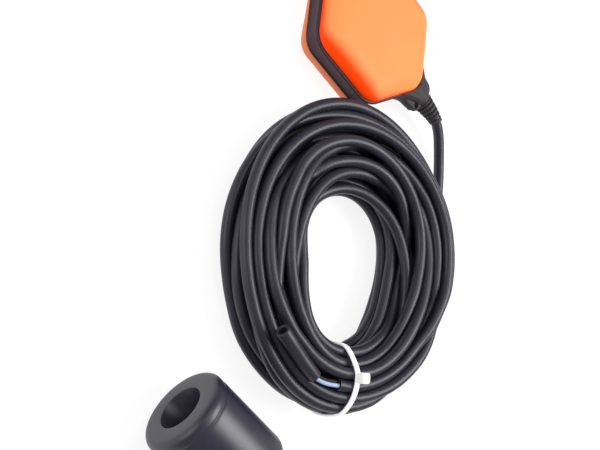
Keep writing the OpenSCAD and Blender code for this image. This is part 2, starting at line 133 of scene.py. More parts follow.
def even_path(knots: Array, step: float, per_knot: int = 40) -> Array:
    """Catmull-Rom curve through knots, sampled at an even spacing close to step.

    Args:
        knots: Points (k, 3).
        step: Wanted spacing.
        per_knot: Points for each knot of the fine curve that the spacing is measured on.

    Returns:
        Points (n, 3) from the first knot to the last.
    """
    fine = catmull(knots, np.linspace(0, len(knots) - 1, per_knot * len(knots)))
    run = np.concatenate([[0], np.cumsum(np.linalg.norm(np.diff(fine, axis=0), axis=1))])
    at = np.linspace(0, run[-1], int(round(run[-1] / step)) + 1)
    return np.stack([np.interp(at, run, fine[:, k]) for k in range(3)], 1)


def length_of(path: Array) -> float:
    """Length of a polyline."""
    return float(np.linalg.norm(np.diff(path, axis=0), axis=1).sum())


# ---------------------------------------------------------------- surfaces


@dataclass
class Surface:
    """Mesh under construction: points in millimetres and faces as rows of four or three indices."""

    points: Array
    faces: list[list[int]]
    marks: Array | None = None

    @staticmethod
    def grid(
        points: Array, wrap_rows: bool = False, wrap_columns: bool = True, caps: bool = False
    ) -> "Surface":
        """Quads over a grid of points, rows by columns.

        Args:
            points: Array (rows, columns, 3).
            wrap_rows: Joins the last row to the first.
            wrap_columns: Joins the last column to the first.
            caps: Closes the first and last row with a fan round the row's mean.

        Returns:
            The surface; marks holds each face corner's (column share, row) for a UV map.
        """
        rows, columns = points.shape[:2]
        r = np.arange(rows if wrap_rows else rows - 1)
        c = np.arange(columns if wrap_columns else columns - 1)
        i, j = (x.ravel() for x in np.meshgrid(r, c, indexing="ij"))
        up, along = (i + 1) % rows, (j + 1) % columns
        quads = np.stack([i * columns + j, i * columns + along, up * columns + along, up * columns + j], 1)
        across = np.stack([j, j + 1, j + 1, j], 1) / columns
        marks = np.stack([across, np.stack([i, i, i + 1, i + 1], 1).astype(float)], -1).reshape(-1, 2)
        flat, faces = points.reshape(-1, 3), quads.tolist()
        if caps:
            for row, turn in ((0, -1), (rows - 1, 1)):
                hub = len(flat)
                flat = np.vstack([flat, points[row].mean(0)])
                rim = row * columns + np.arange(columns)
                fan = np.stack([rim, np.roll(rim, -1), np.full(columns, hub)], 1)
                faces += (fan if turn > 0 else fan[:, ::-1]).tolist()
                marks = np.vstack([marks, np.full((3 * columns, 2), float(row))])
        return Surface(flat, faces, marks)

    def join(self, other: "Surface") -> "Surface":
        """Both surfaces as one, without welding."""
        faces = self.faces + [[v + len(self.points) for v in f] for f in other.faces]
        return Surface(np.vstack([self.points, other.points]), faces)

    def build(self, name: str, weld: bool = True, crease: float = 40.0) -> bpy.types.Object:
        """Makes the Blender object, in metres, with its faces outwards.

        Args:
            name: Object name.
            weld: Merges points that coincide, as at poles and seams.
            crease: Angle in degrees past which an edge is drawn sharp.

        Returns:
            The object, at the origin.
        """
        mesh = bpy.data.meshes.new(name)
        mesh.from_pydata((self.points * MM).tolist(), [], self.faces)
        shell = bmesh.new()
        shell.from_mesh(mesh)
        if weld:
            bmesh.ops.remove_doubles(shell, verts=shell.verts, dist=WELD)
            bmesh.ops.recalc_face_normals(shell, faces=shell.faces)
        if signed_volume(shell) < 0:
            bmesh.ops.reverse_faces(shell, faces=shell.faces)
        shell.to_mesh(mesh)
        shell.free()
        if self.marks is not None and not weld:
            layer = mesh.uv_layers.new(name="run")
            layer.data.foreach_set("uv", self.marks.astype(np.float32).ravel())
        mesh.polygons.foreach_set("use_smooth", np.ones(len(mesh.polygons), bool))
        mesh.set_sharp_from_angle(angle=math.radians(crease))
        piece = bpy.data.objects.new(name, mesh)
        bpy.context.scene.collection.objects.link(piece)
        return piece


def signed_volume(shell: bmesh.types.BMesh) -> float:
    """Three times a shell's volume about its own middle, positive where its faces point outwards."""
    middle = sum((v.co for v in shell.verts), shell.verts[:][0].co * 0) / len(shell.verts)
    return sum(f.calc_area() * f.normal.dot(f.calc_center_median() - middle) for f in shell.faces)


def frames(path: Array) -> tuple[Array, Array, Array]:
    """Level frame along a path: heading, sideways (heading x up) and the third direction.

    Args:
        path: Points (n, 3), never vertical.

    Returns:
        Three arrays (n, 3) of unit vectors.
    """
    ahead = unit(np.gradient(path, axis=0))
    side = unit(np.cross(ahead, (0.0, 0.0, 1.0)))
    return ahead, side, np.cross(side, ahead)


def sweep(path: Array, radius: Array | float, sides: int = 20, caps: bool = True) -> Surface:
    """Round tube: circles of the given radius across the path, side * cos + third * sin.

    Args:
        path: Points (n, 3).
        radius: One radius, or one for each point.
        sides: Points round the tube.
        caps: Closes both ends.

    Returns:
        The tube's surface.
    """
    _, side, third = frames(path)
    turn = TAU * np.arange(sides) / sides
    ring = side[:, None] * np.cos(turn)[None, :, None] + third[:, None] * np.sin(turn)[None, :, None]
    reach = np.broadcast_to(np.asarray(radius, float), (len(path),))[:, None, None]
    return Surface.grid(path[:, None] + ring * reach, caps=caps)


def turned(profile: Array, origin: Point, axis: Point, sides: int = 96, closed: bool = True) -> Surface:
    """Surface of revolution: each (along, radius) of the profile goes round the axis.

    Args:
        profile: Array (n, 2) of distance along the axis and radius.
        origin: Point of the axis where along is 0.
        axis: Direction of the axis.
        sides: Points round the axis.
        closed: True where the profile is a closed loop.

    Returns:
        The surface.
    """
    heading = unit(np.array(axis, float))
    side = unit(np.cross(heading, (0.0, 0.0, 1.0)))
    third = np.cross(side, heading)
    turn = TAU * np.arange(sides) / sides
    ring = side * np.cos(turn)[:, None] + third * np.sin(turn)[:, None]
    points = np.array(origin) + profile[:, 0, None, None] * heading + profile[:, 1, None, None] * ring[None]
    return Surface.grid(points, wrap_rows=closed)


def bent(profile: Array, path: Array, sides: int = 48) -> Surface:
    """Closed turned section whose axis follows a path: circles of each radius across the path.

    Args:
        profile: Array (n, 2) of distance along the path and radius, a closed loop.
        path: Centre line (k, 3), evenly spaced.
        sides: Points round the path.

    Returns:
        The surface.
    """
    run = np.linspace(0, length_of(path), len(path))
    line = np.concatenate([path, *frames(path)[1:]], 1)
    place = np.stack([np.interp(profile[:, 0], run, c) for c in line.T], 1)
    centre, side, third = np.split(place[:, None], 3, 2)
    turn = (TAU * np.arange(sides) / sides)[None, :, None]
    ring = side * np.cos(turn) + third * np.sin(turn)
    return Surface.grid(centre + ring * profile[:, 1, None, None], wrap_rows=True)


def rounded(corners: Array, radii: list[float], steps: int = 6) -> Array:
    """Closed polygon with each corner replaced by an arc-like quadratic curve.

    Args:
        corners: Points (n, 2).
        radii: Distance from each corner at which its curve starts.
        steps: Points on each curve, less one.

    Returns:
        Points (n * (steps + 1), 2).
    """
    back = unit(np.roll(corners, 1, 0) - corners)
    on = unit(np.roll(corners, -1, 0) - corners)
    cut = np.array(radii)[:, None]
    a, c = corners + back * cut, corners + on * cut
    f = np.linspace(0, 1, steps + 1)[None, :, None]
    curve = (1 - f) ** 2 * a[:, None] + 2 * f * (1 - f) * corners[:, None] + f**2 * c[:, None]
    return curve.reshape(-1, 2)


def bulged_box(centre: Point, size: Point, axes: Array, power: float = 6.0, cuts: int = 24) -> Surface:
    """Box with soft edges: a superellipsoid, |x|^p + |y|^p + |z|^p = 1 stretched to the size.

    Args:
        centre: Middle of the box.
        size: Full lengths along the three axes.
        axes: Rows of three unit vectors.
        power: The exponent p, higher for crisper edges.
        cuts: Rows from pole to pole.

    Returns:
        The surface.
    """
    tilt = np.linspace(-math.pi / 2, math.pi / 2, cuts)
    turn = TAU * np.arange(2 * cuts) / (2 * cuts)
    t, p = np.meshgrid(tilt, turn, indexing="ij")
    way = np.stack([np.cos(t) * np.cos(p), np.cos(t) * np.sin(p), np.sin(t)], -1)
    shrink = (np.abs(way) ** power).sum(-1, keepdims=True) ** (-1 / power)
    local = way * shrink * np.array(size) / 2
    return Surface.grid(np.array(centre) + local @ np.asarray(axes))


def baked(piece: bpy.types.Object) -> bpy.types.Object:
    """Applies a piece's modifiers to its mesh.

    Args:
        piece: Object with modifiers.

    Returns:
        The same object, with none.
    """
    graph = bpy.context.evaluated_depsgraph_get()
    done = bpy.data.meshes.new_from_object(piece.evaluated_get(graph), depsgraph=graph)
    piece.modifiers.clear()
    old, piece.data = piece.data, done
    bpy.data.meshes.remove(old)
    return piece


def fused(
    piece: bpy.types.Object, cutters: list[bpy.types.Object], voxel: float, smooth: int, crease: float = 38.0
) -> bpy.types.Object:
    """Fuses a piece's overlapping shells into one moulded skin and cuts the cutters out of it.

    Args:
        piece: Object whose shells overlap.
        cutters: Objects taken away, then removed from the scene.
        voxel: Size of the remesh cell in millimetres.
        smooth: Passes of smoothing that round the joints.
        crease: Angle in degrees past which an edge is drawn sharp.

    Returns:
        The piece.
    """
    remesh = piece.modifiers.new("fuse", "REMESH")
    remesh.mode, remesh.voxel_size = "VOXEL", voxel * MM
    relax = piece.modifiers.new("relax", "SMOOTH")
    relax.factor, relax.iterations = 0.5, smooth
    baked(piece)
    for cutter in cutters:
        cut = piece.modifiers.new("cut", "BOOLEAN")
        cut.operation, cut.object, cut.solver = "DIFFERENCE", cutter, "EXACT"
        baked(piece)
        bpy.data.objects.remove(cutter)
    piece.data.polygons.foreach_set("use_smooth", np.ones(len(piece.data.polygons), bool))
    piece.data.set_sharp_from_angle(angle=math.radians(crease))
    return piece


# ---------------------------------------------------------------- finishes


def fill(node: bpy.types.Node, values: dict[str, float | tuple[float, ...]]) -> bpy.types.Node:
    """Sets constants on a node's sockets.

    Args:
        node: The node.
        values: Constants by the socket's name.

    Returns:
        The same node.
    """
    for socket, value in values.items():
        node.inputs[socket].default_value = value
    return node


@dataclass(frozen=True)
class Finish:
    """Moulded or drawn material: two close colours in soft patches, a grain in bump and gloss.

    Where set, it also paints shade on upright walls and gives off painted light by emission.
    """

    name: str
    colour: Colour
    patch: Colour
    roughness: float = 0.45
    spread: float = 0.06
    grain: float = 0.5
    bump: float = 0.08
    patch_size: float = 18.0
    specular: float = 0.5
    metallic: float = 0.0
    # Painted shade: colour mixed onto upright walls by the normal; where paler, a painted reflection of the
    # floor.
    wall: Colour | None = None
    # Painted light: a constant emission, so that a part shines though it is no lamp.
    painted_glow: Colour = (0.0, 0.0, 0.0)
    patch_blend: tuple[float, float] = (0.35, 0.65)
    wall_shares: Point = (0.36, -0.90, 1.0)
    wall_shift: float = 0.18
    wall_blend: tuple[float, float] = (0.30, 0.99)
    relief: float = 0.1

    def material(self) -> bpy.types.Material:
        """Builds the node material once and finds it afterwards among the file's materials.

        Returns:
            The material.
        """
        title = f"{self.name}_look"
        known = bpy.data.materials.get(title)
        if known:
            return known
        made = bpy.data.materials.new(title)
        made.use_nodes = True
        nodes, links = made.node_tree.nodes, made.node_tree.links
        constants = {
            "Metallic": self.metallic,
            "Specular IOR Level": self.specular,
            # Painted light: emission from a part that is no lamp.
            "Emission Color": (*self.painted_glow, 1),
            "Emission Strength": float(max(self.painted_glow) > 0),
        }
        shader = fill(nodes["Principled BSDF"], constants)
        place = nodes.new("ShaderNodeTexCoord").outputs["Object"]

        def noise(size: float, detail: float) -> bpy.types.NodeSocket:
            """Noise in the object's own space.

            Args:
                size: Width of its features in millimetres.
                detail: Number of finer layers.

            Returns:
                Its value.
            """
            node = fill(nodes.new("ShaderNodeTexNoise"), {"Scale": 1 / (size * MM), "Detail": detail})
            links.new(place, node.inputs["Vector"])
            return node.outputs["Fac"]

        low, high = self.patch_blend
        blotch = fill(nodes.new("ShaderNodeMapRange"), {"From Min": low, "From Max": high})
        links.new(noise(self.patch_size, 2), blotch.inputs["Value"])
        tone = nodes.new("ShaderNodeMix")
        tone.data_type = "RGBA"
        fill(tone, {"A": (*self.colour, 1), "B": (*self.patch, 1)})
        links.new(blotch.outputs["Result"], tone.inputs["Factor"])
        # Painted shade and painted floor reflection on upright walls, where the finish has a wall colour.
        paint = self.walls(nodes, links, tone.outputs["Result"])
        links.new(paint, shader.inputs["Base Color"])
        fine = noise(self.grain, 4)
        range_of_gloss = {"To Min": self.roughness - self.spread, "To Max": self.roughness + self.spread}
        gloss = fill(nodes.new("ShaderNodeMapRange"), range_of_gloss)
        links.new(fine, gloss.inputs["Value"])
        links.new(gloss.outputs["Result"], shader.inputs["Roughness"])
        relief = fill(nodes.new("ShaderNodeBump"), {"Strength": self.bump, "Distance": self.relief * MM})
        links.new(fine, relief.inputs["Height"])
        links.new(relief.outputs["Normal"], shader.inputs["Normal"])
        return made

    def walls(
        self, nodes: bpy.types.Nodes, links: bpy.types.NodeLinks, paint: bpy.types.NodeSocket
    ) -> bpy.types.NodeSocket:
        """Painted shade on upright walls: a wall colour mixed into the level faces' colour by the normal.

        The mix is the normal's sizes |x|, |y|, |z| times wall_shares, plus wall_shift, so the two
        long side walls take the most wall colour: painted shade where the wall colour is darker,
        a painted reflection of the floor where it is paler.

        Args:
            nodes: The material's nodes.
            links: The material's links.
            paint: Colour of the level faces.

        Returns:
            The mixed colour, or the given one for a finish without a wall colour.
        """
        if not self.wall:
            return paint
        sizes = nodes.new("ShaderNodeVectorMath")
        sizes.operation = "ABSOLUTE"
        links.new(nodes.new("ShaderNodeNewGeometry").outputs["Normal"], sizes.inputs[0])
        shares = nodes.new("ShaderNodeVectorMath")
        shares.operation = "DOT_PRODUCT"
        shares.inputs[1].default_value = self.wall_shares
        links.new(sizes.outputs["Vector"], shares.inputs[0])
        total = nodes.new("ShaderNodeMath")
        total.inputs[1].default_value = self.wall_shift
        links.new(shares.outputs["Value"], total.inputs[0])
        low, high = self.wall_blend
        blend = fill(nodes.new("ShaderNodeMapRange"), {"From Min": low, "From Max": high})
        blend.interpolation_type = "SMOOTHSTEP"
        links.new(total.outputs["Value"], blend.inputs["Value"])
        # Painted wall shade mixed over the level faces' colour.
        painted_wall_mix = nodes.new("ShaderNodeMix")
        painted_wall_mix.data_type = "RGBA"
        fill(painted_wall_mix, {"A": (*self.wall, 1)})
        links.new(blend.outputs["Result"], painted_wall_mix.inputs["Factor"])
        links.new(paint, painted_wall_mix.inputs["B"])
        return painted_wall_mix.outputs["Result"]


# Front cover: the darker, redder wall colour is painted shade on the side walls; the constant red emission is
# painted light over the whole cover that lifts those shaded walls.
ORANGE = Finish(
    "orange_shell", (0.95, 0.32, 0.100), (0.97, 0.34, 0.110), 0.42, 0.04, 0.35, 0.10, 30, 0.12,
    wall=(0.98, 0.060, 0.001), painted_glow=(0.28, 0.012, 0.0),
)
# Rear cover: its paler wall colour is a painted reflection of the white floor on the upright walls.
REAR_ORANGE = Finish(
    "orange_rear", (0.95, 0.32, 0.095), (0.97, 0.34, 0.105), 0.42, 0.04, 0.35, 0.10, 30, 0.4,
    wall=(0.80, 0.19, 0.05),
)
FRAME = Finish("band_black", (0.046, 0.018, 0.024), (0.056, 0.024, 0.030), 0.48, 0.05, 0.4, 0.12, 18, 0.3)
GLAND = Finish("gland_black", (0.046, 0.040, 0.044), (0.054, 0.047, 0.052), 0.55, 0.05, 0.45, 0.12, 18, 0.2)
JACKET = Finish("jacket_black", (0.018, 0.017, 0.029), (0.023, 0.021, 0.035), 0.39, 0.05, 0.9, 0.08, 9, 0.46)
# The tie's grey emission is painted light that keeps it bright white.
NYLON = Finish(
    "tie_nylon", (0.93, 0.93, 0.92), (0.88, 0.88, 0.87), 0.38, 0.05, 0.3, 0.08, 4, painted_glow=(0.24, 0.24, 0.24)
)
WEIGHT = Finish("weight_grey", (0.017, 0.015, 0.030), (0.023, 0.020, 0.038), 0.38, 0.04, 0.35, 0.05, 14, 0.66)
BROWN = Finish("core_brown", (0.016, 0.010, 0.005), (0.022, 0.013, 0.007), 0.5, 0.04, 0.3, 0.05, 3, 0.2)
BLUE = Finish("core_blue", (0.40, 0.53, 0.78), (0.46, 0.58, 0.82), 0.5, 0.04, 0.3, 0.05, 3, 0.3)
BLACK = Finish("core_black", (0.015, 0.015, 0.016), (0.02, 0.02, 0.022), 0.35, 0.04, 0.3, 0.05, 3)
SEAL = Finish("seal_rubber", (0.020, 0.020, 0.021), (0.028, 0.028, 0.029), 0.7, 0.08, 0.3, 0.2, 6)
CHAMBER = Finish("chamber_white", (0.70, 0.70, 0.67), (0.62, 0.62, 0.60), 0.45, 0.06, 0.4, 0.1, 12)
CREAM = Finish("trough_cream", (0.76, 0.68, 0.50), (0.70, 0.62, 0.45), 0.42, 0.06, 0.4, 0.1, 10)
STEEL = Finish("bright_steel", (0.60, 0.60, 0.61), (0.52, 0.52, 0.54), 0.28, 0.08, 0.2, 0.1, 4, metallic=1.0)
CHROME = Finish("ball_chrome", (0.72, 0.72, 0.73), (0.66, 0.66, 0.68), 0.10, 0.04, 0.2, 0.03, 5, metallic=1.0)
SWITCH = Finish("switch_black", (0.022, 0.022, 0.025), (0.03, 0.03, 0.033), 0.5, 0.06, 0.3, 0.15, 6)
RED = Finish("plunger_red", (0.50, 0.035, 0.020), (0.42, 0.030, 0.018), 0.35, 0.05, 0.2, 0.05, 2)
BRASS = Finish("terminal_brass", (0.72, 0.53, 0.2), (0.62, 0.45, 0.17), 0.3, 0.08, 0.2, 0.1, 3, metallic=1.0)
IRON = Finish("ballast_iron", (0.16, 0.15, 0.14), (0.22, 0.18, 0.15), 0.65, 0.1, 0.8, 0.4, 7, metallic=0.8)


def dress(
    piece: bpy.types.Object, finish: Finish, body: Body, replaced: tuple[str, ...] = ()
) -> bpy.types.Object:
    """Gives a new piece its finish, body and the CAD nodes that it stands for.

    Args:
        piece: The object.
        finish: Its material.
        body: CAD body that it rides on.
        replaced: CAD nodes that it stands for.

    Returns:
        The piece.
    """
    piece.data.materials.clear()
    piece.data.materials.append(finish.material())
    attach(piece, body.value)
    if replaced:
        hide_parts(*replaced)
    log.info("%s: %d faces on %s", piece.name, len(piece.data.polygons), body.value)
    return piece


# ---------------------------------------------------------------- float


@dataclass
class Hexagon:
    """Outline of the float: six edges with rounded corners, seen from above."""

    half_width: float = 42.2
    side_x: float = 26.5
    nose: float = 26.5
    tail: float = 24.5
    corner: float = 15.0
    tip: float = 18.0

    def arcs(self) -> list[tuple[float, float, float, float, float]]:
        """Six rounded corners, counter-clockwise from the nose.

        Returns:
            Centre x, centre y, radius, first and last angle of each corner.
        """
        nose_a, tail_a = math.atan2(self.nose, self.half_width), math.atan2(self.tail, self.half_width)
        y = self.half_width - self.corner
        nose_side = self.side_x - self.corner * (1 - math.sin(nose_a)) / math.cos(nose_a)
        tail_side = -self.side_x + self.corner * (1 - math.sin(tail_a)) / math.cos(tail_a)
        nose_tip = self.side_x + self.nose - self.tip / math.cos(nose_a)
        tail_tip = -self.side_x - self.tail + self.tip / math.cos(tail_a)
        quarter, half = math.pi / 2, math.pi
        return [
            (nose_tip, 0.0, self.tip, -nose_a, nose_a),
            (nose_side, y, self.corner, nose_a, quarter),
            (tail_side, y, self.corner, quarter, half - tail_a),
            (tail_tip, 0.0, self.tip, half - tail_a, half + tail_a),
            (tail_side, -y, self.corner, half + tail_a, 3 * quarter),
            (nose_side, -y, self.corner, 3 * quarter, 4 * quarter - nose_a),
        ]

    def ring(self, grow: float = 0.0, arc_steps: int = 12, edge_steps: int = 12) -> Array:
        """Outline moved outward by grow: arcs about fixed centres, joined by straight edges.

        Args:
            grow: Distance outward, negative for inward.
            arc_steps: Steps on each corner.
            edge_steps: Steps on each edge.

        Returns:
            Points (n, 2), the same number for any grow.
        """
        x, y, r, first, last = (np.array(v)[:, None] for v in zip(*self.arcs(), strict=True))
        turn = first + (last - first) * np.linspace(0, 1, arc_steps + 1)[None]
        arc = np.stack([x + (r + grow) * np.cos(turn), y + (r + grow) * np.sin(turn)], -1)
        start, stop = arc[:, -1, None], np.roll(arc[:, 0], -1, 0)[:, None]
        share = np.linspace(0, 1, edge_steps + 1)[None, 1:-1, None]
        edge = start + (stop - start) * share
        return np.concatenate([arc, edge], 1).reshape(-1, 2)


@dataclass
class FloatShell:
    """The float: two orange covers and the black band between them.

    slope_start and slope_end give x at the nose and at the tail; lip gives (z, inset) of its rows.
    """

    outline: Hexagon = field(default_factory=Hexagon)
    cover_height: float = 10.0
    tip_height: float = 4.6
    band_height: float = 12.5
    front_edge: float = 15.0
    rear_edge: float = 4.8
    front_power: float = 1.75
    rear_power: float = 2.3
    wall: float = 2.2
    crown: float = 0.35
    slope_blend: float = 2.6
    slope_start: tuple[float, float] = (26.0, 23.0)
    slope_end: tuple[float, float] = (47.5, 41.0)
    lip: tuple[tuple[float, float], ...] = ((0.0, 0.4), (0.35, 0.05), (0.9, 0.0))
    roll_rows: int = 17
    top_rows: int = 22

    def top(self, x: Array, y: Array) -> Array:
        """Height of a cover over the band: level, then sloping down to the nose and the tail.

        The slope is a soft ramp, s * log(1 + exp((|x| - bend) / s)) times the gradient, and a slight
        crown falls off as the square of the distance from the middle.

        Args:
            x: Places along the float.
            y: Places across it.

        Returns:
            Height at each place.
        """
        soft = self.slope_blend
        bend = np.where(x > 0, *self.slope_start)
        reach = np.where(x > 0, *self.slope_end) - bend
        past = soft * np.logaddexp(0, (np.abs(x) - bend) / soft)
        drop = (self.cover_height - self.tip_height) * past / reach
        crown = self.crown * ((x / 50) ** 2 + (y / 41) ** 2)
        return self.cover_height - drop - crown

    def half(self, inset: float, edge: float, power: float) -> list[Array]:
        """Rows of one skin of a cover: lip, side rolled over as a quarter superellipse, then the top.

        Args:
            inset: Distance of the skin inside the outer one.
            edge: Width over which the side rolls over.
            power: Exponent of the superellipse, below 2 for a bevelled side.

        Returns:
            Rows (n, 3) from the rim to the middle.
        """
        foot = self.outline.ring(-edge)
        height = self.top(foot[:, 0], foot[:, 1]) - inset
        rows = []
        for z, draw in self.lip:
            ring = self.outline.ring(-inset - draw * (inset == 0))
            rows.append(np.column_stack([ring, np.full(len(ring), z)]))
        start = self.lip[-1][0]
        for angle in np.linspace(0, math.pi / 2, self.roll_rows)[1:]:
            inward = 1 - max(math.cos(angle), 0.0) ** (2 / power)
            ring = self.outline.ring(-inset - (edge - inset) * inward)
            rows.append(np.column_stack([ring, start + (height - start) * math.sin(angle) ** (2 / power)]))
        last = rows[-1][:, :2]
        for share in np.linspace(1, 0, self.top_rows)[1:]:
            ring = last * share
            rows.append(np.column_stack([ring, self.top(ring[:, 0], ring[:, 1]) - inset]))
        return rows

    def cover(self, upper: bool) -> Surface:
        """One cover as a closed skin: outer rows to the middle, then the inner rows back to the rim.

        Args:
            upper: True for the front cover, False for the mirrored rear one.

        Returns:
            The surface.
        """
        shape = (self.front_edge, self.front_power) if upper else (self.rear_edge, self.rear_power)
        rows = self.half(0.0, *shape) + self.half(self.wall, *shape)[::-1]
        skin = Surface.grid(np.array(rows), wrap_rows=True)
        z = skin.points[:, 2]
        skin.points[:, 2] = self.cover_height + self.band_height + z if upper else self.cover_height - z
        return skin

    def band(self) -> Surface:
        """Black band: a closed (outward, z) section, recessed between a rear bead and a front lip.

        Returns:
            The closed band.
        """
        section = [
            [-3.0, 10.05], [-0.4, 10.05], [0.35, 10.2], [0.62, 10.7], [0.50, 11.2], [0.0, 11.6],
            [-0.15, 12.0], [-0.15, 19.0], [0.1, 19.7], [0.85, 20.1], [1.60, 20.7], [1.80, 21.4],
            [1.55, 22.0], [0.95, 22.4], [-0.2, 22.48], [-0.9, 22.45], [-3.0, 22.45],
        ]
        rows = []
        for outward, z in section:
            ring = self.outline.ring(outward)
            rows.append(np.column_stack([ring, np.full(len(ring), z)]))
        return Surface.grid(np.array(rows), wrap_rows=True)

    def build(self) -> None:
        """Makes the covers and the band."""
        front = self.cover(True).build("float_front_shell", crease=60)
        dress(front, ORANGE, Body.FLOAT, ("front_cover",))
        rear = self.cover(False).build("float_rear_shell", crease=60)
        dress(rear, REAR_ORANGE, Body.FLOAT, ("rear_cover",))
        dress(self.band().build("float_band", crease=50), FRAME, Body.FLOAT, ("mid_frame",))


# ---------------------------------------------------------------- gland


@dataclass
class CableGland:
    """Moulded gland on the nose: saddle, two ears with holes, neck and ribbed sleeve.

    The two outlines give (x, y, rounding) of each corner on the +y side.
    """

    axis_z: float = 16.25
    block: float = 14.6
    ear: float = 6.4
    saddle: tuple[Point, ...] = ((38, 21, 2), (47, 15, 4), (55, 9.6, 5), (62.5, 6.6, 3))
    plate: tuple[Point, ...] = (
        (42, 19, 2), (49.5, 14, 3), (56.5, 13.4, 4), (63, 11.8, 4), (64.6, 7, 3), (63.5, 3, 1),
    )
    saddle_roll: float = 6.0
    plate_roll: float = 2.4
    hole: float = 1.7
    hole_at: tuple[float, float] = (60.7, 10.3)
    hole_lean: float = 0.50
    nose_gap: float = 0.12
    voxel: float = 0.42
    smoothing: int = 5
    ribs: int = 5
    sleeve_radii: tuple[float, float] = (6.9, 4.5)
    sleeve_bore: float = 3.66
    groove: float = 1.25
    sleeve_sides: int = 56

    def slab(self, half: tuple[Point, ...], thick: float, e: float) -> Surface:
        """Plate about the gland's axis: the rounded outline, drawn in by e at its top and bottom.

        Args:
            half: Corners on the +y side as (x, y, rounding), mirrored for the other side.
            thick: Thickness of the plate.
            e: Radius of the rolled edges.

        Returns:
            The closed plate.
        """
        low, high = self.axis_z - thick / 2, self.axis_z + thick / 2
        corners = [(x, -y) for x, y, _ in half] + [(x, y) for x, y, _ in half[::-1]]
        radii = [r for _, _, r in half + half[::-1]]
        ring = rounded(np.array(corners, float), radii)
        middle = ring.mean(0)
        size = np.abs(ring - middle).max(0)
        roll = np.linspace(0, math.pi / 2, 5)
        inset = np.concatenate([[e], e * (1 - np.sin(roll)), e * (1 - np.cos(roll))[1:], [e]])
        z = np.concatenate([[low], low + e * (1 - np.cos(roll)), high - e * (1 - np.sin(roll))[1:], [high]])
        rows = []
        for i, h in zip(inset, z, strict=True):
            rows.append(np.column_stack([middle + (ring - middle) * (1 - i / size), np.full(len(ring), h)]))
        return Surface.grid(np.array(rows), caps=True)

    def moulding(self) -> bpy.types.Object:
        """Saddle, ears and neck fused to one moulding that clears the float's nose.

        Returns:
            The moulding.
        """
        saddle = self.slab(self.saddle, self.block, self.saddle_roll)
        plate = self.slab(self.plate, self.ear, self.plate_roll)
        run = np.array([[51.0, 0.01], [51.0, 8.2], [57.0, 7.6], [62.0, 6.9], [64.2, 6.5], [64.2, 0.01]])
        neck = turned(run, (0, 0, self.axis_z), (1, 0, 0), 48, closed=False)
        piece = saddle.join(plate).join(neck).build("gland_moulding")
        nose = Hexagon().ring(self.nose_gap)
        prism = np.array([np.column_stack([nose, np.full(len(nose), z)]) for z in (-5.0, 45.0)])
        cutters = [Surface.grid(prism, caps=True).build("cut_nose")]
        x, y = self.hole_at
        r, t, far = self.hole, self.ear / 2, 5.0
        half = np.array([[t, r + 0.2], [far, r + 0.4], [far, 0]])
        bore = np.vstack([half[::-1] * [-1, 1], [[0, r]], half])
        for side in (-1, 1):
            way = (-0.3, -self.hole_lean * side, 1.0)
            cutters.append(turned(bore, (x, side * y, self.axis_z), way, 40, closed=False).build("cut_ear"))
        return fused(piece, cutters, self.voxel, self.smoothing)

    def sleeve(self, path: Array) -> Surface:
        """Ribbed sleeve along the cable: a straight taper less a row of flat-bottomed grooves.

        Each groove is a smooth step of the wave 0.5 - 0.5 cos(2 pi times the rib's number).

        Args:
            path: Centre line from the gland to the sleeve's end.

        Returns:
            The closed sleeve, with a flared lip at its end.
        """
        s = np.linspace(0, 1, len(path))
        first, last = self.sleeve_radii
        taper = first + (last - first) * s
        wave = 0.5 - 0.5 * np.cos(TAU * (self.ribs * s * 1.08 - 0.1))
        groove = self.groove * ease(wave, 0.5, 0.85) * (s > 0.06) * (s < 0.93)
        sides = self.sleeve_sides
        outer = sweep(path, taper - groove, sides, caps=False).points.reshape(len(path), sides, 3)
        end = outer[-1] + (path[-1] - outer[-1]) * np.array([0.05, 0.14, 0.30])[:, None, None]
        end = end + unit(path[-1] - path[-2]) * np.array([0.25, 0.4, 0.45])[:, None, None]
        bore = sweep(path[::-1], self.sleeve_bore, sides, caps=False).points.reshape(len(path), sides, 3)
        bore = np.roll(bore[:, ::-1], sides // 2 + 1, 1)
        return Surface.grid(np.concatenate([outer, end, bore[:12:2]]))

    def build(self, path: Array) -> None:
        """Makes the moulding and the sleeve.

        Args:
            path: Centre line of the cable through the sleeve.
        """
        dress(self.moulding(), GLAND, Body.FLOAT, ("gland_block",))
        sleeve = self.sleeve(path).build("gland_sleeve", crease=55)
        dress(sleeve, GLAND, Body.FLOAT, ("strain_relief",))


# ---------------------------------------------------------------- cable


@dataclass(frozen=True)
class Settling:
    """Numbers of the winding calculation, in rounds, stations and millimetres.

    late and firm are shares of all rounds; smooth, kink_share, lane, wall, hold and push are the
    shares of a deviation that one round takes away.
    """

    rounds: int = 500
    late: float = 0.6
    firm: float = 0.5
    firm_passes: int = 3
    spread_tenths: tuple[int, int] = (5, 7)
    sigma: float = 5.0
    extra_sigma: float = 0.6
    smooth_early: float = 0.6
    smooth_late: float = 0.5
    start_size: float = 0.35
    growth: float = 0.93
    clearance: float = 1.005
    kink: tuple[float, float] = (0.24, 0.36)
    kink_sigma: float = 1.7
    kink_share: float = 0.6
    lane: float = 0.02
    weight: float = 0.03
    wall_power: float = 2.6
    wall: float = 0.35
    hold: float = 0.5
    push: float = 0.38
    crowd: float = 0.35
    push_sigma: float = 0.7


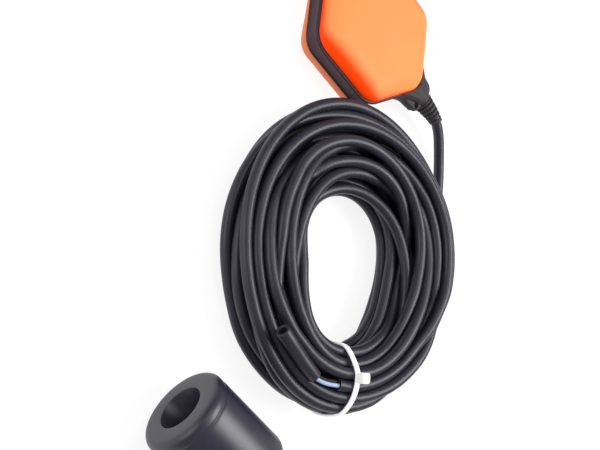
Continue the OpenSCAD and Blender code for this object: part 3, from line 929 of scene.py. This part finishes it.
@dataclass
class CableCoil:
    """Supply cable: from the gland into a hand-wound coil, out over it and under the tie.

    The ovals give a mean and the sizes of cosine and sine waves of the angle round the coil.
    """

    diameter: float = 7.2
    loops: int = 24
    reach: float = 0.97
    stations: int = 96
    centre: tuple[float, float] = (75.6, -131.9)
    start: float = math.radians(25)
    tie: float = math.radians(-58)
    tie_width: float = math.radians(26)
    tie_lift: float = 1.35
    tie_lift_width: float = math.radians(9)
    tie_room: tuple[float, float, float] = (-0.9, 20.9, 16.9)
    loose: float = math.radians(133)
    loose_width: float = 0.85
    end: float = math.radians(-69.5)
    seed: int = 2
    radius_oval: tuple[float, ...] = (64.37, -3.68, -4.97, -1.17, 0.37)
    width_oval: tuple[float, ...] = (25.19, -2.98, 2.86, 1.57, 1.65)
    height_oval: tuple[float, ...] = (19.32, 2.9, 0.27)
    loose_radius: float = 1.5
    loose_half_width: float = 4.2
    settling: Settling = Settling()
    lead: tuple[Point, ...] = (
        (58, 0, 16.25), (66, 0, 16.25), (74, 0, 16.2), (82, -0.5, 15.5), (91, -3, 13), (100, -8.2, 10),
        (109, -15, 7.2), (118, -24, 5.2), (127.5, -37.5, 4.1), (137, -57, 3.7), (144.5, -79, 3.6),
    )
    lead_joins: int = 2
    tail_angle: tuple[float, ...] = (-109, -95, -82, -66, -54, -44, -25, 0)
    tail_out: tuple[float, ...] = (8.6, 4.8, 5.6, 3.4, 1.2, 2.4, 4, 5)
    tail_z: tuple[float, ...] = (36.5, 36.6, 36.8, 37.4, 38.0, 37.6, 36.4, 35)
    tail_hold: tuple[float, ...] = (1, 1, 1, 1, 1, 1, 0.6, 0)

    def radius(self, a: Array) -> Array:
        """Distance of the bundle's middle from the coil's centre, an oval with a slight third lobe.

        Args:
            a: Angle of each point round the coil.

        Returns:
            Distance at each point.
        """
        mean, c2, s2, c3, s3 = self.radius_oval
        oval = mean + c2 * np.cos(2 * a) + s2 * np.sin(2 * a) + c3 * np.cos(3 * a) + s3 * np.sin(3 * a)
        return oval + self.loose_radius * hump(a, self.loose, self.loose_width)

    def half_width(self, a: Array) -> Array:
        """Half the bundle's width, narrow at the tie and wide opposite it.

        Args:
            a: Angle of each point round the coil.

        Returns:
            Half width at each point.
        """
        mean, c1, s1, c2, s2 = self.width_oval
        oval = mean + c1 * np.cos(a) + s1 * np.sin(a) + c2 * np.cos(2 * a) + s2 * np.sin(2 * a)
        return oval + self.loose_half_width * hump(a, self.loose, self.loose_width)

    def half_height(self, a: Array) -> Array:
        """Half the bundle's height."""
        mean, c1, s1 = self.height_oval
        return mean + c1 * np.cos(a) + s1 * np.sin(a)

    def room(self, a: Array) -> tuple[Array, Array]:
        """Room for the strands' centres, a disc at the tie.

        Args:
            a: Angle of each point round the coil.

        Returns:
            Middles and half sizes (n, 2), as (out, z).
        """
        tight = hump(a, self.tie, self.tie_width)[:, None]
        free = np.stack([self.half_width(a), self.half_height(a)], 1) - self.diameter / 2
        middle = np.stack([0 * a, self.half_height(a)], 1)
        out, z, half = self.tie_room
        return middle * (1 - tight) + np.array([out, z]) * tight, free * (1 - tight) + half * tight

    @staticmethod
    def relaxed(chain: Array, sigma: float) -> Array:
        """Chain with its short waves taken out: twice a Gaussian mean less that mean's own mean.

        Args:
            chain: Points (n, 2).
            sigma: Width of the Gaussian in stations.

        Returns:
            The smoother chain.
        """
        reach = int(4 * sigma) + 1
        bell = np.exp(-0.5 * (np.arange(-reach, reach + 1) / sigma) ** 2)
        bell /= bell.sum()

        def mean(line: Array) -> Array:
            """Gaussian mean with each end carried on point-symmetrically.

            Args:
                line: Points (n, 2).

            Returns:
                As many points.
            """
            head = 2 * line[:1] - line[reach:0:-1]
            foot = 2 * line[-1:] - line[-2 : -reach - 2 : -1]
            pad = np.concatenate([head, line, foot])
            return np.stack([np.convolve(pad[:, k], bell, "valid") for k in range(2)], 1)

        once = mean(chain)
        return 2 * once - mean(once)

    def wander(self, turns: Array, per_loop: int = 4, power: float = 2.4) -> Array:
        """Place of the strand in its room as it winds: each loop has its own lane and drifts upwards.

        Args:
            turns: Loops wound so far, for each point.
            per_loop: Knots of the curve in each loop.
            power: Exponent p of the room's superellipse.

        Returns:
            Points (n, 2) within |x|^p + |y|^p = 1.
        """
        dice = np.random.default_rng(self.seed)
        knots = int(np.ceil(turns[-1] * per_loop)) + 2
        lane = dice.uniform(-1, 1, knots // per_loop + 2)
        at = np.arange(knots) / per_loop
        out = np.interp(at, np.arange(len(lane)) + 0.5, lane) + 0.55 * dice.normal(size=knots)
        up = -1 + 2 * at / at[-1] + 0.35 * dice.normal(size=knots)
        way = np.clip(np.stack([out, up], 1), -1, 1)
        way[0] = 0.75, -1
        path = catmull(way, turns * per_loop)
        return path / np.maximum(1, (np.abs(path) ** power).sum(1, keepdims=True) ** (1 / power))

    def holds(self, a: Array, index: Array) -> tuple[Array, Array]:
        """Where the chain is held: on the floor at its start and on top of the bundle at its end.

        Args:
            a: Angle of each point.
            index: Number of each point.

        Returns:
            Held places (n, 2) and strengths (n,) from 0 to 1.
        """
        back = np.degrees(a - a[-1]) + self.tail_angle[0]
        close = back < 0.5
        hold = np.where(close, np.interp(back, self.tail_angle, self.tail_hold), 0)
        rows = (self.tail_out, self.tail_z)
        place = np.stack([np.interp(back, self.tail_angle, row) for row in rows], 1)
        first = np.exp(-((index / 6.0) ** 2))
        outside = float(self.half_width(np.array(self.start))) - self.diameter / 2 - 1.0
        entry = np.array([outside, self.diameter / 2])
        total = hold + first
        mixed = (place * hold[:, None] + entry * first[:, None]) / np.maximum(total, 1e-9)[:, None]
        return mixed, np.minimum(total, 1)

    def spread(self, chain: Array, slot: Indices, middle: Array, half: Array) -> Array:
        """Chain stretched sideways so that its outermost strands reach the sides of the room.

        At each station the second and the last but one strand, counted outwards, are taken as the
        bundle's sides; they are smoothed round the coil and mapped in proportion to the room's sides.

        Args:
            chain: Places (n, 2).
            slot: Point numbers (loops, stations).
            middle: Room's middle for each point.
            half: Room's half sizes for each point.

        Returns:
            The stretched chain.
        """
        order = np.sort(chain[slot][:-1, :, 0] - middle[slot][:-1, :, 0], axis=0)
        bell = np.exp(-0.5 * (np.arange(-15, 16) / 6.0) ** 2)
        bell /= bell.sum()
        count = order.shape[1]
        once = slice(count, 2 * count)
        low, high = (np.convolve(np.tile(side, 3), bell, "same")[once] for side in order[[1, -2]])
        station = np.arange(len(chain)) % count
        share = (chain[:, 0] - middle[:, 0] - low[station]) / (high[station] - low[station])
        made = chain.copy()
        made[:, 0] = middle[:, 0] + half[:, 0] * (2 * share - 1) * self.reach
        return made

    def wind(self) -> tuple[Array, Array]:
        """Winds the coil: a wandering chain settles under its stiffness, its weight and its own contacts.

        Each point is (out, z) in the coil's cross-section at its angle. Every round smooths the chain,
        draws it into its room, holds its two ends, and pushes apart points of one cross-section that
        are closer than a diameter.

        Returns:
            Angle (n,) and place (n, 2) of each point.
        """
        how = self.settling
        turn_end = (self.start - math.radians(self.tail_angle[0])) / TAU
        count = self.loops * self.stations + int(round(turn_end * self.stations)) + 1
        index = np.arange(count)
        a = self.start - TAU * index / self.stations
        middle, half = self.room(a)
        chain = middle + self.wander(index / self.stations) * half
        goal = chain.copy()
        place, hold = self.holds(a, index)
        floor = self.diameter / 2 + self.tie_lift * hump(a, self.tie, self.tie_lift_width)
        rows = -(-count // self.stations)
        slot = np.arange(rows * self.stations).reshape(rows, self.stations)
        real = slot < count
        slot = np.minimum(slot, count - 1)
        apart = np.where(real, 0.0, 1e6 * (1 + np.arange(rows))[:, None])
        for turn in range(how.rounds):
            share = turn / how.rounds
            if turn in [how.rounds * tenth // 10 for tenth in how.spread_tenths]:
                chain = self.spread(chain, slot, middle, half)
            size = self.diameter * how.clearance * min(1.0, how.start_size + how.growth * share)
            sigma = how.sigma * (1 + how.extra_sigma - how.extra_sigma * share)
            stiff = how.smooth_early if share < how.late else how.smooth_late
            chain += stiff * (self.relaxed(chain, sigma) - chain)
            if share > how.late:
                chain = self.unkinked(chain)
            chain += how.lane * (1 - share) ** 2 * (goal - chain)
            chain[:, 1] -= how.weight
            off = chain - middle
            power = how.wall_power
            past = np.maximum((np.abs(off / half) ** power).sum(1, keepdims=True) ** (1 / power), 1)
            chain += how.wall * (off / past - off)
            chain += how.hold * hold[:, None] * (place - chain)
            for _ in range(how.firm_passes if share > how.firm else 1):
                chain = self.parted(chain, slot, real, apart, size)
            chain[:, 1] = np.maximum(chain[:, 1], floor)
        return a, chain

    def unkinked(self, chain: Array) -> Array:
        """Chain smoothed further where it bends sharply from point to point.

        Args:
            chain: Places (n, 2).

        Returns:
            The easier chain.
        """
        how = self.settling
        bend = np.linalg.norm(np.diff(chain, 2, axis=0, prepend=chain[:1], append=chain[-1:]), axis=1)
        tight = np.convolve(ease(bend, *how.kink), np.ones(7) / 3, "same").clip(0, 1)[:, None]
        chain += how.kink_share * tight * (self.relaxed(chain, how.kink_sigma * how.sigma) - chain)
        return chain

    def parted(self, chain: Array, slot: Indices, real: Array, apart: Array, size: float) -> Array:
        """Chain with the points of each cross-section pushed apart where they are closer than size.

        Args:
            chain: Places (n, 2).
            slot: Point numbers (loops, stations).
            real: Where a slot holds a point of its own.
            apart: Shift that keeps the other slots out of reach.
            size: Wanted distance.

        Returns:
            The parted chain.
        """
        how = self.settling
        rows = len(slot)
        here = chain[slot].transpose(1, 0, 2).copy()
        here[..., 0] += apart.T
        gap = here[:, :, None] - here[:, None]
        far = np.sqrt((gap**2).sum(-1)) + 1e-9
        far[:, np.arange(rows), np.arange(rows)] = 1e9
        press = np.maximum(size - far, 0)
        move = (gap / far[..., None] * press[..., None]).sum(2) * how.push
        move /= np.maximum((press > 0).sum(2), 1)[..., None] ** how.crowd
        shift = np.zeros_like(chain)
        shift[slot[real]] = move.transpose(1, 0, 2)[real]
        chain += shift + self.relaxed(shift, how.push_sigma * how.sigma)
        return chain

    def place(self, a: Array, chain: Array) -> Array:
        """Points in space of a chain given by angle and (out, z).

        Args:
            a: Angle of each point round the coil.
            chain: Places (n, 2).

        Returns:
            Points (n, 3).
        """
        reach = self.radius(a) + chain[:, 0]
        x, y = self.centre
        return np.stack([x + reach * np.cos(a), y + reach * np.sin(a), chain[:, 1]], 1)

    def route(self, a: Array, chain: Array) -> Array:
        """Whole visible centre line: lead from the gland, coil, and the tail to its cut end.

        Args:
            a: Angle of each point round the coil.
            chain: Places (n, 2).

        Returns:
            Points (n, 3).
        """
        coil = self.place(a, chain)
        first = self.lead_joins
        last = np.argmin(np.abs(a - (self.end - TAU * self.loops)))
        lead = even_path(np.vstack([np.array(self.lead), coil[first : first + 7 : 3]]), 3.0)
        lead = lead[: np.argmin(np.linalg.norm(lead - coil[first], axis=1))]
        smooth = catmull(coil[first : last + 1], np.arange(0, last - first + 0.01, 0.5))
        return np.vstack([lead, smooth])


@dataclass
class CableEnd:
    """End of the cable: bared cores in a window, then the loose piece of jacket slid along them."""

    outer: float = 4.25
    bore: float = 2.45
    core: float = 1.2
    core_spacing: float = 1.16
    line: tuple[Point, ...] = (
        (86.5, -207.3, 36.8), (78.9, -206.4, 37.0), (70.5, -205.2, 37.6), (58.1, -203.1, 39.2),
        (48.8, -202.4, 41.2),
    )
    recess: int = 3
    sag: Point = (-0.4, -1.2, 0.2)
    core_angles: tuple[tuple[str, float], ...] = (("brown", -5), ("blue", 122), ("black", 240))

    def slug(self) -> Surface:
        """Piece of jacket as a closed turned section: outer wall, rounded cut edge, bore and inner end.

        Returns:
            The closed piece.
        """
        path = even_path(np.array(self.line), 1.0)
        size = length_of(path)
        o, b = self.outer, self.bore
        section = [
            [0, b], [0, o - 0.3], [0.1, o - 0.08], [0.4, o], [size * 0.3, o * 1.01], [size * 0.6, o],
            [size - 0.35, o * 1.02], [size - 0.1, o * 0.99], [size, o - 0.25], [size - 0.02, b + 0.2],
            [size - 0.2, b + 0.03], [size - 0.8, b], [size * 0.5, b],
        ]
        return bent(np.array(section), path)

    def cores(self, cut: Array) -> dict[str, Surface]:
        """Three cores from the cable's cut end, through the window, into the slug.

        Args:
            cut: Last two points of the cable's centre line.

        Returns:
            Surface of each core by colour.
        """
        heading = unit(cut[-1] - cut[-2])
        inside = even_path(np.array(self.line), 1.0)
        middle = 0.5 * (cut[-1] + inside[0]) + self.sag
        line = np.vstack([cut[-1] - heading * 4, cut[-1], middle, inside[: -self.recess : 6]])
        path = even_path(line, 1.0)
        _, side, third = frames(path)
        twist = np.linspace(math.radians(-6), math.radians(14), len(path))
        made = {}
        for name, angle in self.core_angles:
            turn = math.radians(angle) + twist
            off = side * np.cos(turn)[:, None] + third * np.sin(turn)[:, None]
            made[name] = sweep(path + off * self.core * self.core_spacing, self.core, 20)
        return made


@dataclass
class CableTie:
    """White nylon tie drawn tight round the bundle."""

    at: Point = (105.8, -196.3, 20.0)
    turn: float = math.radians(-58)
    lean: float = math.radians(15)
    width: float = 4.6
    thick: float = 1.25
    slack: float = 0.12
    near: float = 40.0
    samples: int = 180
    head: Point = (6.6, 7.6, 6.6)
    head_out: float = -2.2
    head_along: float = 1.7
    head_sunk: float = 0.8
    slot: Point = (3.2, 3.4, 1.0)

    def crossings(self, path: Array) -> Array:
        """Places (out, up) where a path crosses the tie's plane near the tie.

        Args:
            path: Points (n, 3).

        Returns:
            One row for each crossing.
        """
        out, along, up = self.axes()
        off = path - np.array(self.at)
        side, reach = off @ along, off @ out
        cut = np.flatnonzero((side[:-1] * side[1:] <= 0) & (np.abs(reach[:-1]) < self.near))
        share = side[cut] / (side[cut] - side[cut + 1])
        place = off[cut] + (off[cut + 1] - off[cut]) * share[:, None]
        return np.column_stack([place @ out, place @ up])

    def loop(self, discs: Array, radius: float) -> Array:
        """Tight line round the discs, as a hull: with h(f) = max(c . n) + r it is p = h n + h' t.

        Args:
            discs: Centres (k, 2) in the cross-section.
            radius: Reach beyond the centres.

        Returns:
            Closed line (n, 2), counter-clockwise from the outer side.
        """
        f = TAU * np.arange(self.samples) / self.samples
        n = np.stack([np.cos(f), np.sin(f)], 1)
        h = (discs @ n.T).max(0) + radius
        bell = np.exp(-0.5 * (np.arange(-12, 13) / 4.0) ** 2)
        h = np.convolve(np.concatenate([h[-12:], h, h[:12]]), bell / bell.sum(), "valid") + self.slack
        slope = (np.roll(h, -1) - np.roll(h, 1)) / (2 * TAU / self.samples)
        return n * h[:, None] + np.stack([-n[:, 1], n[:, 0]], 1) * slope[:, None]

    def axes(self) -> tuple[Array, Array, Array]:
        """Directions of the leaning plane.

        Returns:
            Unit vectors outwards, square to the plane, and up in the plane.
        """
        c, s = math.cos(self.turn), math.sin(self.turn)
        level, rise = np.array([-s, c, 0.0]), np.array([0.0, 0.0, 1.0])
        c_lean, s_lean = math.cos(self.lean), math.sin(self.lean)
        return np.array([c, s, 0.0]), level * c_lean - rise * s_lean, rise * c_lean + level * s_lean

    def strap(self, line: Array) -> Surface:
        """Strap: a flat section with raised edges along the loop, its middle line held above the floor.

        Args:
            line: Closed loop (n, 2) in the tie's plane.

        Returns:
            The closed strap.
        """
        out, along, up = self.axes()
        path = np.array(self.at) + line[:, :1] * out + line[:, 1:] * up
        path[:, 2] = np.maximum(path[:, 2], self.thick / 2 + 0.05)
        ahead = unit(np.roll(path, -1, 0) - np.roll(path, 1, 0))
        normal = unit(np.cross(ahead, along))
        w, t = self.width / 2, self.thick / 2
        section = np.array(
            [
                [-w, -t * 0.5], [-w, t * 0.5], [-w + 0.35, t], [-w + 0.9, t], [-w + 1.1, t * 0.72],
                [w - 1.1, t * 0.72], [w - 0.9, t], [w - 0.35, t], [w, t * 0.5], [w, -t * 0.5],
                [w - 0.35, -t], [-w + 0.35, -t],
            ]
        )
        points = path[:, None] + along * section[None, :, :1] + normal[:, None] * section[None, :, 1:]
        return Surface.grid(points, wrap_rows=True)

    def head_block(self, at: Array, up: Array) -> Surface:
        """Head of the tie, with the block of its slot in the top.

        Args:
            at: Middle of the head.
            up: Direction away from the bundle.

        Returns:
            The two soft boxes as one surface.
        """
        _, along, _ = self.axes()
        axes = np.array([np.cross(along, up), along, up])
        box = bulged_box(tuple(at), self.head, axes, 5.0, 28)
        return box.join(bulged_box(tuple(at + up * (self.head[2] / 2 - 0.1)), self.slot, axes, 7.0, 12))


@dataclass
class Cable:
    """The whole cable with its end and its tie."""

    coil: CableCoil = field(default_factory=CableCoil)
    end: CableEnd = field(default_factory=CableEnd)
    tie: CableTie = field(default_factory=CableTie)
    sleeve_span: tuple[float, float] = (62.5, 77.5)

    def build(self) -> Array:
        """Makes the cord, the cable's end and the tie.

        Returns:
            Centre line of the cable inside the gland's sleeve.
        """
        a, chain = self.coil.wind()
        route = self.coil.route(a, chain)
        start, exit_at = (int(np.argmin(np.abs(route[:60, 0] - x))) for x in self.sleeve_span)
        path = route[exit_at:]
        surface = sweep(path, self.coil.diameter / 2, 20)
        run = np.concatenate([[0], np.cumsum(np.linalg.norm(np.diff(path, axis=0), axis=1))]) * MM
        surface.marks[:, 1] = run[np.minimum(surface.marks[:, 1].astype(int), len(run) - 1)]
        cord = surface.build("supply_cable", weld=False, crease=70)
        dress(cord, JACKET, Body.FLOAT, ("cable_lead", "cable_coil", "cable_tail"))
        extras = [self.slug()] + self.cores(path[-2:]) + [self.strap(path)]
        log.info("cable of %.2f m", length_of(path) * MM)
        return even_path(route[start : exit_at + 2], 0.35)

    def slug(self) -> bpy.types.Object:
        """The loose piece of jacket."""
        piece = self.end.slug().build("jacket_end", crease=50)
        return dress(piece, JACKET, Body.FLOAT, ("jacket_slug",))

    def cores(self, cut: Array) -> list[bpy.types.Object]:
        """Makes the three cores.

        Args:
            cut: Last two points of the cable's centre line.

        Returns:
            The three pieces.
        """
        looks = {"brown": (BROWN, Slot.BROWN), "blue": (BLUE, Slot.BLUE), "black": (BLACK, Slot.BLACK)}
        pieces = []
        for name, core in self.end.cores(cut).items():
            finish, slot = looks[name]
            piece = core.build(f"core_{name}_bared")
            pieces.append(dress(piece, finish, Body.FLOAT, (f"core_{name}",)))
        return pieces

    def strap(self, path: Array) -> bpy.types.Object:
        """The tie, drawn round the strands that pass through it, with its head on top.

        Args:
            path: Centre line of the cable.

        Returns:
            The piece.
        """
        tie = self.tie
        discs = tie.crossings(path)
        line = tie.loop(discs, self.coil.diameter / 2 + tie.thick / 2)
        log.info("tie round %d strands", len(discs))
        out, along, up = tie.axes()
        upper = np.where(line[:, 1] > discs[:, 1].mean(), np.abs(line[:, 0] - tie.head_out), np.inf)
        k = int(np.argmin(upper))
        ahead = unit(line[(k + 2) % len(line)] - line[k - 2])
        away = out * ahead[1] - up * ahead[0]
        at = np.array(tie.at) + out * line[k, 0] + up * line[k, 1] + along * tie.head_along
        head = tie.head_block(at + away * (tie.head[2] / 2 - tie.head_sunk), away)
        piece = tie.strap(line).join(head).build("coil_tie", crease=35)
        return dress(piece, NYLON, Body.FLOAT, ("cable_tie",))


# ---------------------------------------------------------------- counterweight


@dataclass
class Counterweight:
    """Loose counterweight: a turned plastic body with a funnel at its face and a bore behind it."""

    face: Point = (29.9, -267.2, 25.5)
    yaw: float = math.radians(-4)
    radius: float = 25.5
    length: float = 60.0
    mouth: float = 13.6
    lip: float = 0.9
    depth: float = 24.0
    bore: float = 4.6
    far_bore: float = 18.0
    rim_roll: float = 4.4
    far_roll: float = 5.0

    def section(self) -> Array:
        """Closed section: bore, funnel, face, rolled rim, seam, body, far edge and end.

        Returns:
            Points (n, 2) of (along, radius).
        """
        roll = np.linspace(0, math.pi / 2, 9)
        shallow, steep = 1 - np.sin(roll), 1 - np.cos(roll)
        share = np.linspace(1, 0, 12)
        taper = self.bore + (self.mouth - self.lip - self.bore) * (1 - share) ** 1.15
        funnel = np.column_stack([self.depth * share, taper])
        lip = np.array([0.0, self.mouth]) + np.column_stack([self.lip * shallow, -self.lip * np.cos(roll)])
        rim = self.radius - 0.1
        rim_arc = np.column_stack([self.rim_roll * steep, rim - self.rim_roll * shallow])
        seam = [
            [6.0, rim - 0.02], [6.6, rim - 0.15], [7.0, rim - 0.4], [7.5, rim - 0.4], [7.9, rim - 0.12],
            [8.5, self.radius - 0.05], [9.4, self.radius],
        ]
        far_along, far_out = self.length - self.far_roll * shallow, self.radius - self.far_roll * steep
        far_arc = np.column_stack([far_along, far_out])
        end = [
            [self.length, 12.0], [self.length, self.bore + 0.6], [self.length - 0.6, self.bore],
            [self.length - self.far_bore, self.bore],
        ]
        return np.vstack([funnel, lip[1:], [[0.0, 17.0]], rim_arc, seam, far_arc, end])

    def build(self) -> None:
        """Makes the body over the ballast."""
        axis = (math.cos(self.yaw), math.sin(self.yaw), 0.0)
        piece = turned(self.section(), self.face, axis, 128).build("weight_body", crease=45)
        dress(piece, WEIGHT, Body.WEIGHT, ("weight_shell", "weight_cap"))


# ---------------------------------------------------------------- carried-over nodes and studio

CARRIED: dict[str, Finish] = {
    "gland_grommet": SEAL,
    "chamber_base": CHAMBER,
    "chamber_lid": CHAMBER,
    "lid_screws": STEEL,
    "trough": CREAM,
    "pivot_pin": STEEL,
    "steel_ball": CHROME,
    "switch_case": SWITCH,
    "switch_plunger": RED,
    "switch_terminals": BRASS,
    "wire_brown": BROWN,
    "wire_black": BLACK,
    "wire_blue": BLUE,
    "cable_root": JACKET,
    "weight_ballast": IRON,
}


def dress_carried(nodes: dict[str, bpy.types.Object]) -> None:
    """Gives each CAD node that stays its finish.

    Args:
        nodes: CAD nodes by name.
    """
    for name, finish in CARRIED.items():
        node = nodes[name]
        node.data.materials.clear()
        node.data.materials.append(finish.material())
        log.info("%s: %s", name, finish.name)


@dataclass
class Studio:
    """White floor, soft lights and the camera; each lamp is (name, place in metres, watts, side)."""

    camera_at: Point = (-199.30, -368.21, 430.25)
    right: Point = (0.61222, 0.4872, 0.62275)
    up: Point = (-0.65408, 0.75459, 0.05267)
    focal: float = 887.15 / 600 * 36
    sensor: float = 36.0
    floor_reach: float = 3000.0
    floor_grey: float = 0.25
    floor_glow: float = 0.86
    sky: float = 0.35
    aim: Point = (0.06, -0.12, 0.02)
    lamps: tuple[tuple[str, Point, float, float], ...] = (
        ("key", (0.66, 0.30, 1.0), 12, 0.7),
        ("top", (-0.35, 0.25, 1.3), 4, 0.8),
        ("left", (-1.0, -0.7, 0.45), 4, 0.7),
    )

    @staticmethod
    def put(thing: bpy.types.Object, axes: Array, at: Array) -> None:
        """Links a camera or lamp to the scene.

        Args:
            thing: The camera or lamp.
            axes: Its axes as columns (3, 3).
            at: Its place in metres.
        """
        pose = np.eye(4)
        pose[:3, :3] = axes
        pose[:3, 3] = at
        thing.matrix_world = Matrix(pose.tolist())
        bpy.context.scene.collection.objects.link(thing)

    def camera(self) -> None:
        """Camera whose axes are right, up and their cross product."""
        right = unit(np.array(self.right))
        up = np.array(self.up)
        up = unit(up - right * (up @ right))
        data = bpy.data.cameras.new("camera")
        data.lens, data.sensor_width, data.sensor_fit = self.focal, self.sensor, "HORIZONTAL"
        data.clip_start, data.clip_end = 0.01, 20.0
        view = bpy.data.objects.new("camera", data)
        self.put(view, np.stack([right, up, np.cross(right, up)], 1), np.array(self.camera_at) * MM)
        bpy.context.scene.camera = view

    def floor(self) -> None:
        """Pale matt floor that gives most of its light itself, so that shadows stay faint."""
        r = self.floor_reach
        corners = np.array([[[-r, -r, 0], [r, -r, 0]], [[-r, r, 0], [r, r, 0]]], float)
        plane = Surface.grid(corners, wrap_columns=False).build("studio_floor")
        made = bpy.data.materials.new("floor_white")
        made.use_nodes = True
        constants = {
            "Base Color": (self.floor_grey, self.floor_grey, self.floor_grey, 1),
            "Roughness": 0.9,
            "Specular IOR Level": 0.0,
            "Emission Color": (1, 1, 1, 1),
            "Emission Strength": self.floor_glow,
        }
        fill(made.node_tree.nodes["Principled BSDF"], constants)
        plane.data.materials.append(made)

    def lamp(self, name: str, at: Point, power: float, size: float) -> None:
        """Square soft light aimed at the middle of the object.

        Args:
            name: Light's name.
            at: Place in metres.
            power: Power in watts.
            size: Side in metres.
        """
        data = bpy.data.lights.new(name, "AREA")
        data.energy, data.size = power, size
        back = unit(np.array(at) - np.array(self.aim))
        side = unit(np.cross((0.0, 0.0, 1.0), back))
        axes = np.stack([side, np.cross(back, side), back], 1)
        self.put(bpy.data.objects.new(name, data), axes, np.array(at))

    def build(self) -> None:
        """Makes camera, floor, world and lights."""
        scene = bpy.context.scene
        scene.view_settings.view_transform = "Standard"
        scene.view_settings.look = "None"
        world = bpy.data.worlds.new("studio")
        world.use_nodes = True
        fill(world.node_tree.nodes["Background"], {"Color": (1, 1, 1, 1), "Strength": self.sky})
        scene.world = world
        self.camera()
        self.floor()
        for lamp in self.lamps:
            self.lamp(*lamp)


def main() -> None:
    """Loads the frame and builds every sub-assembly in order."""
    logging.basicConfig(level=logging.INFO, format="%(name)s %(message)s")
    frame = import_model()
    Studio().build()
    sleeve = Cable().build()
    FloatShell().build()
    CableGland().build(sleeve)
    Counterweight().build()
    dress_carried(frame["nodes"])


if __name__ == "__main__":
    main()
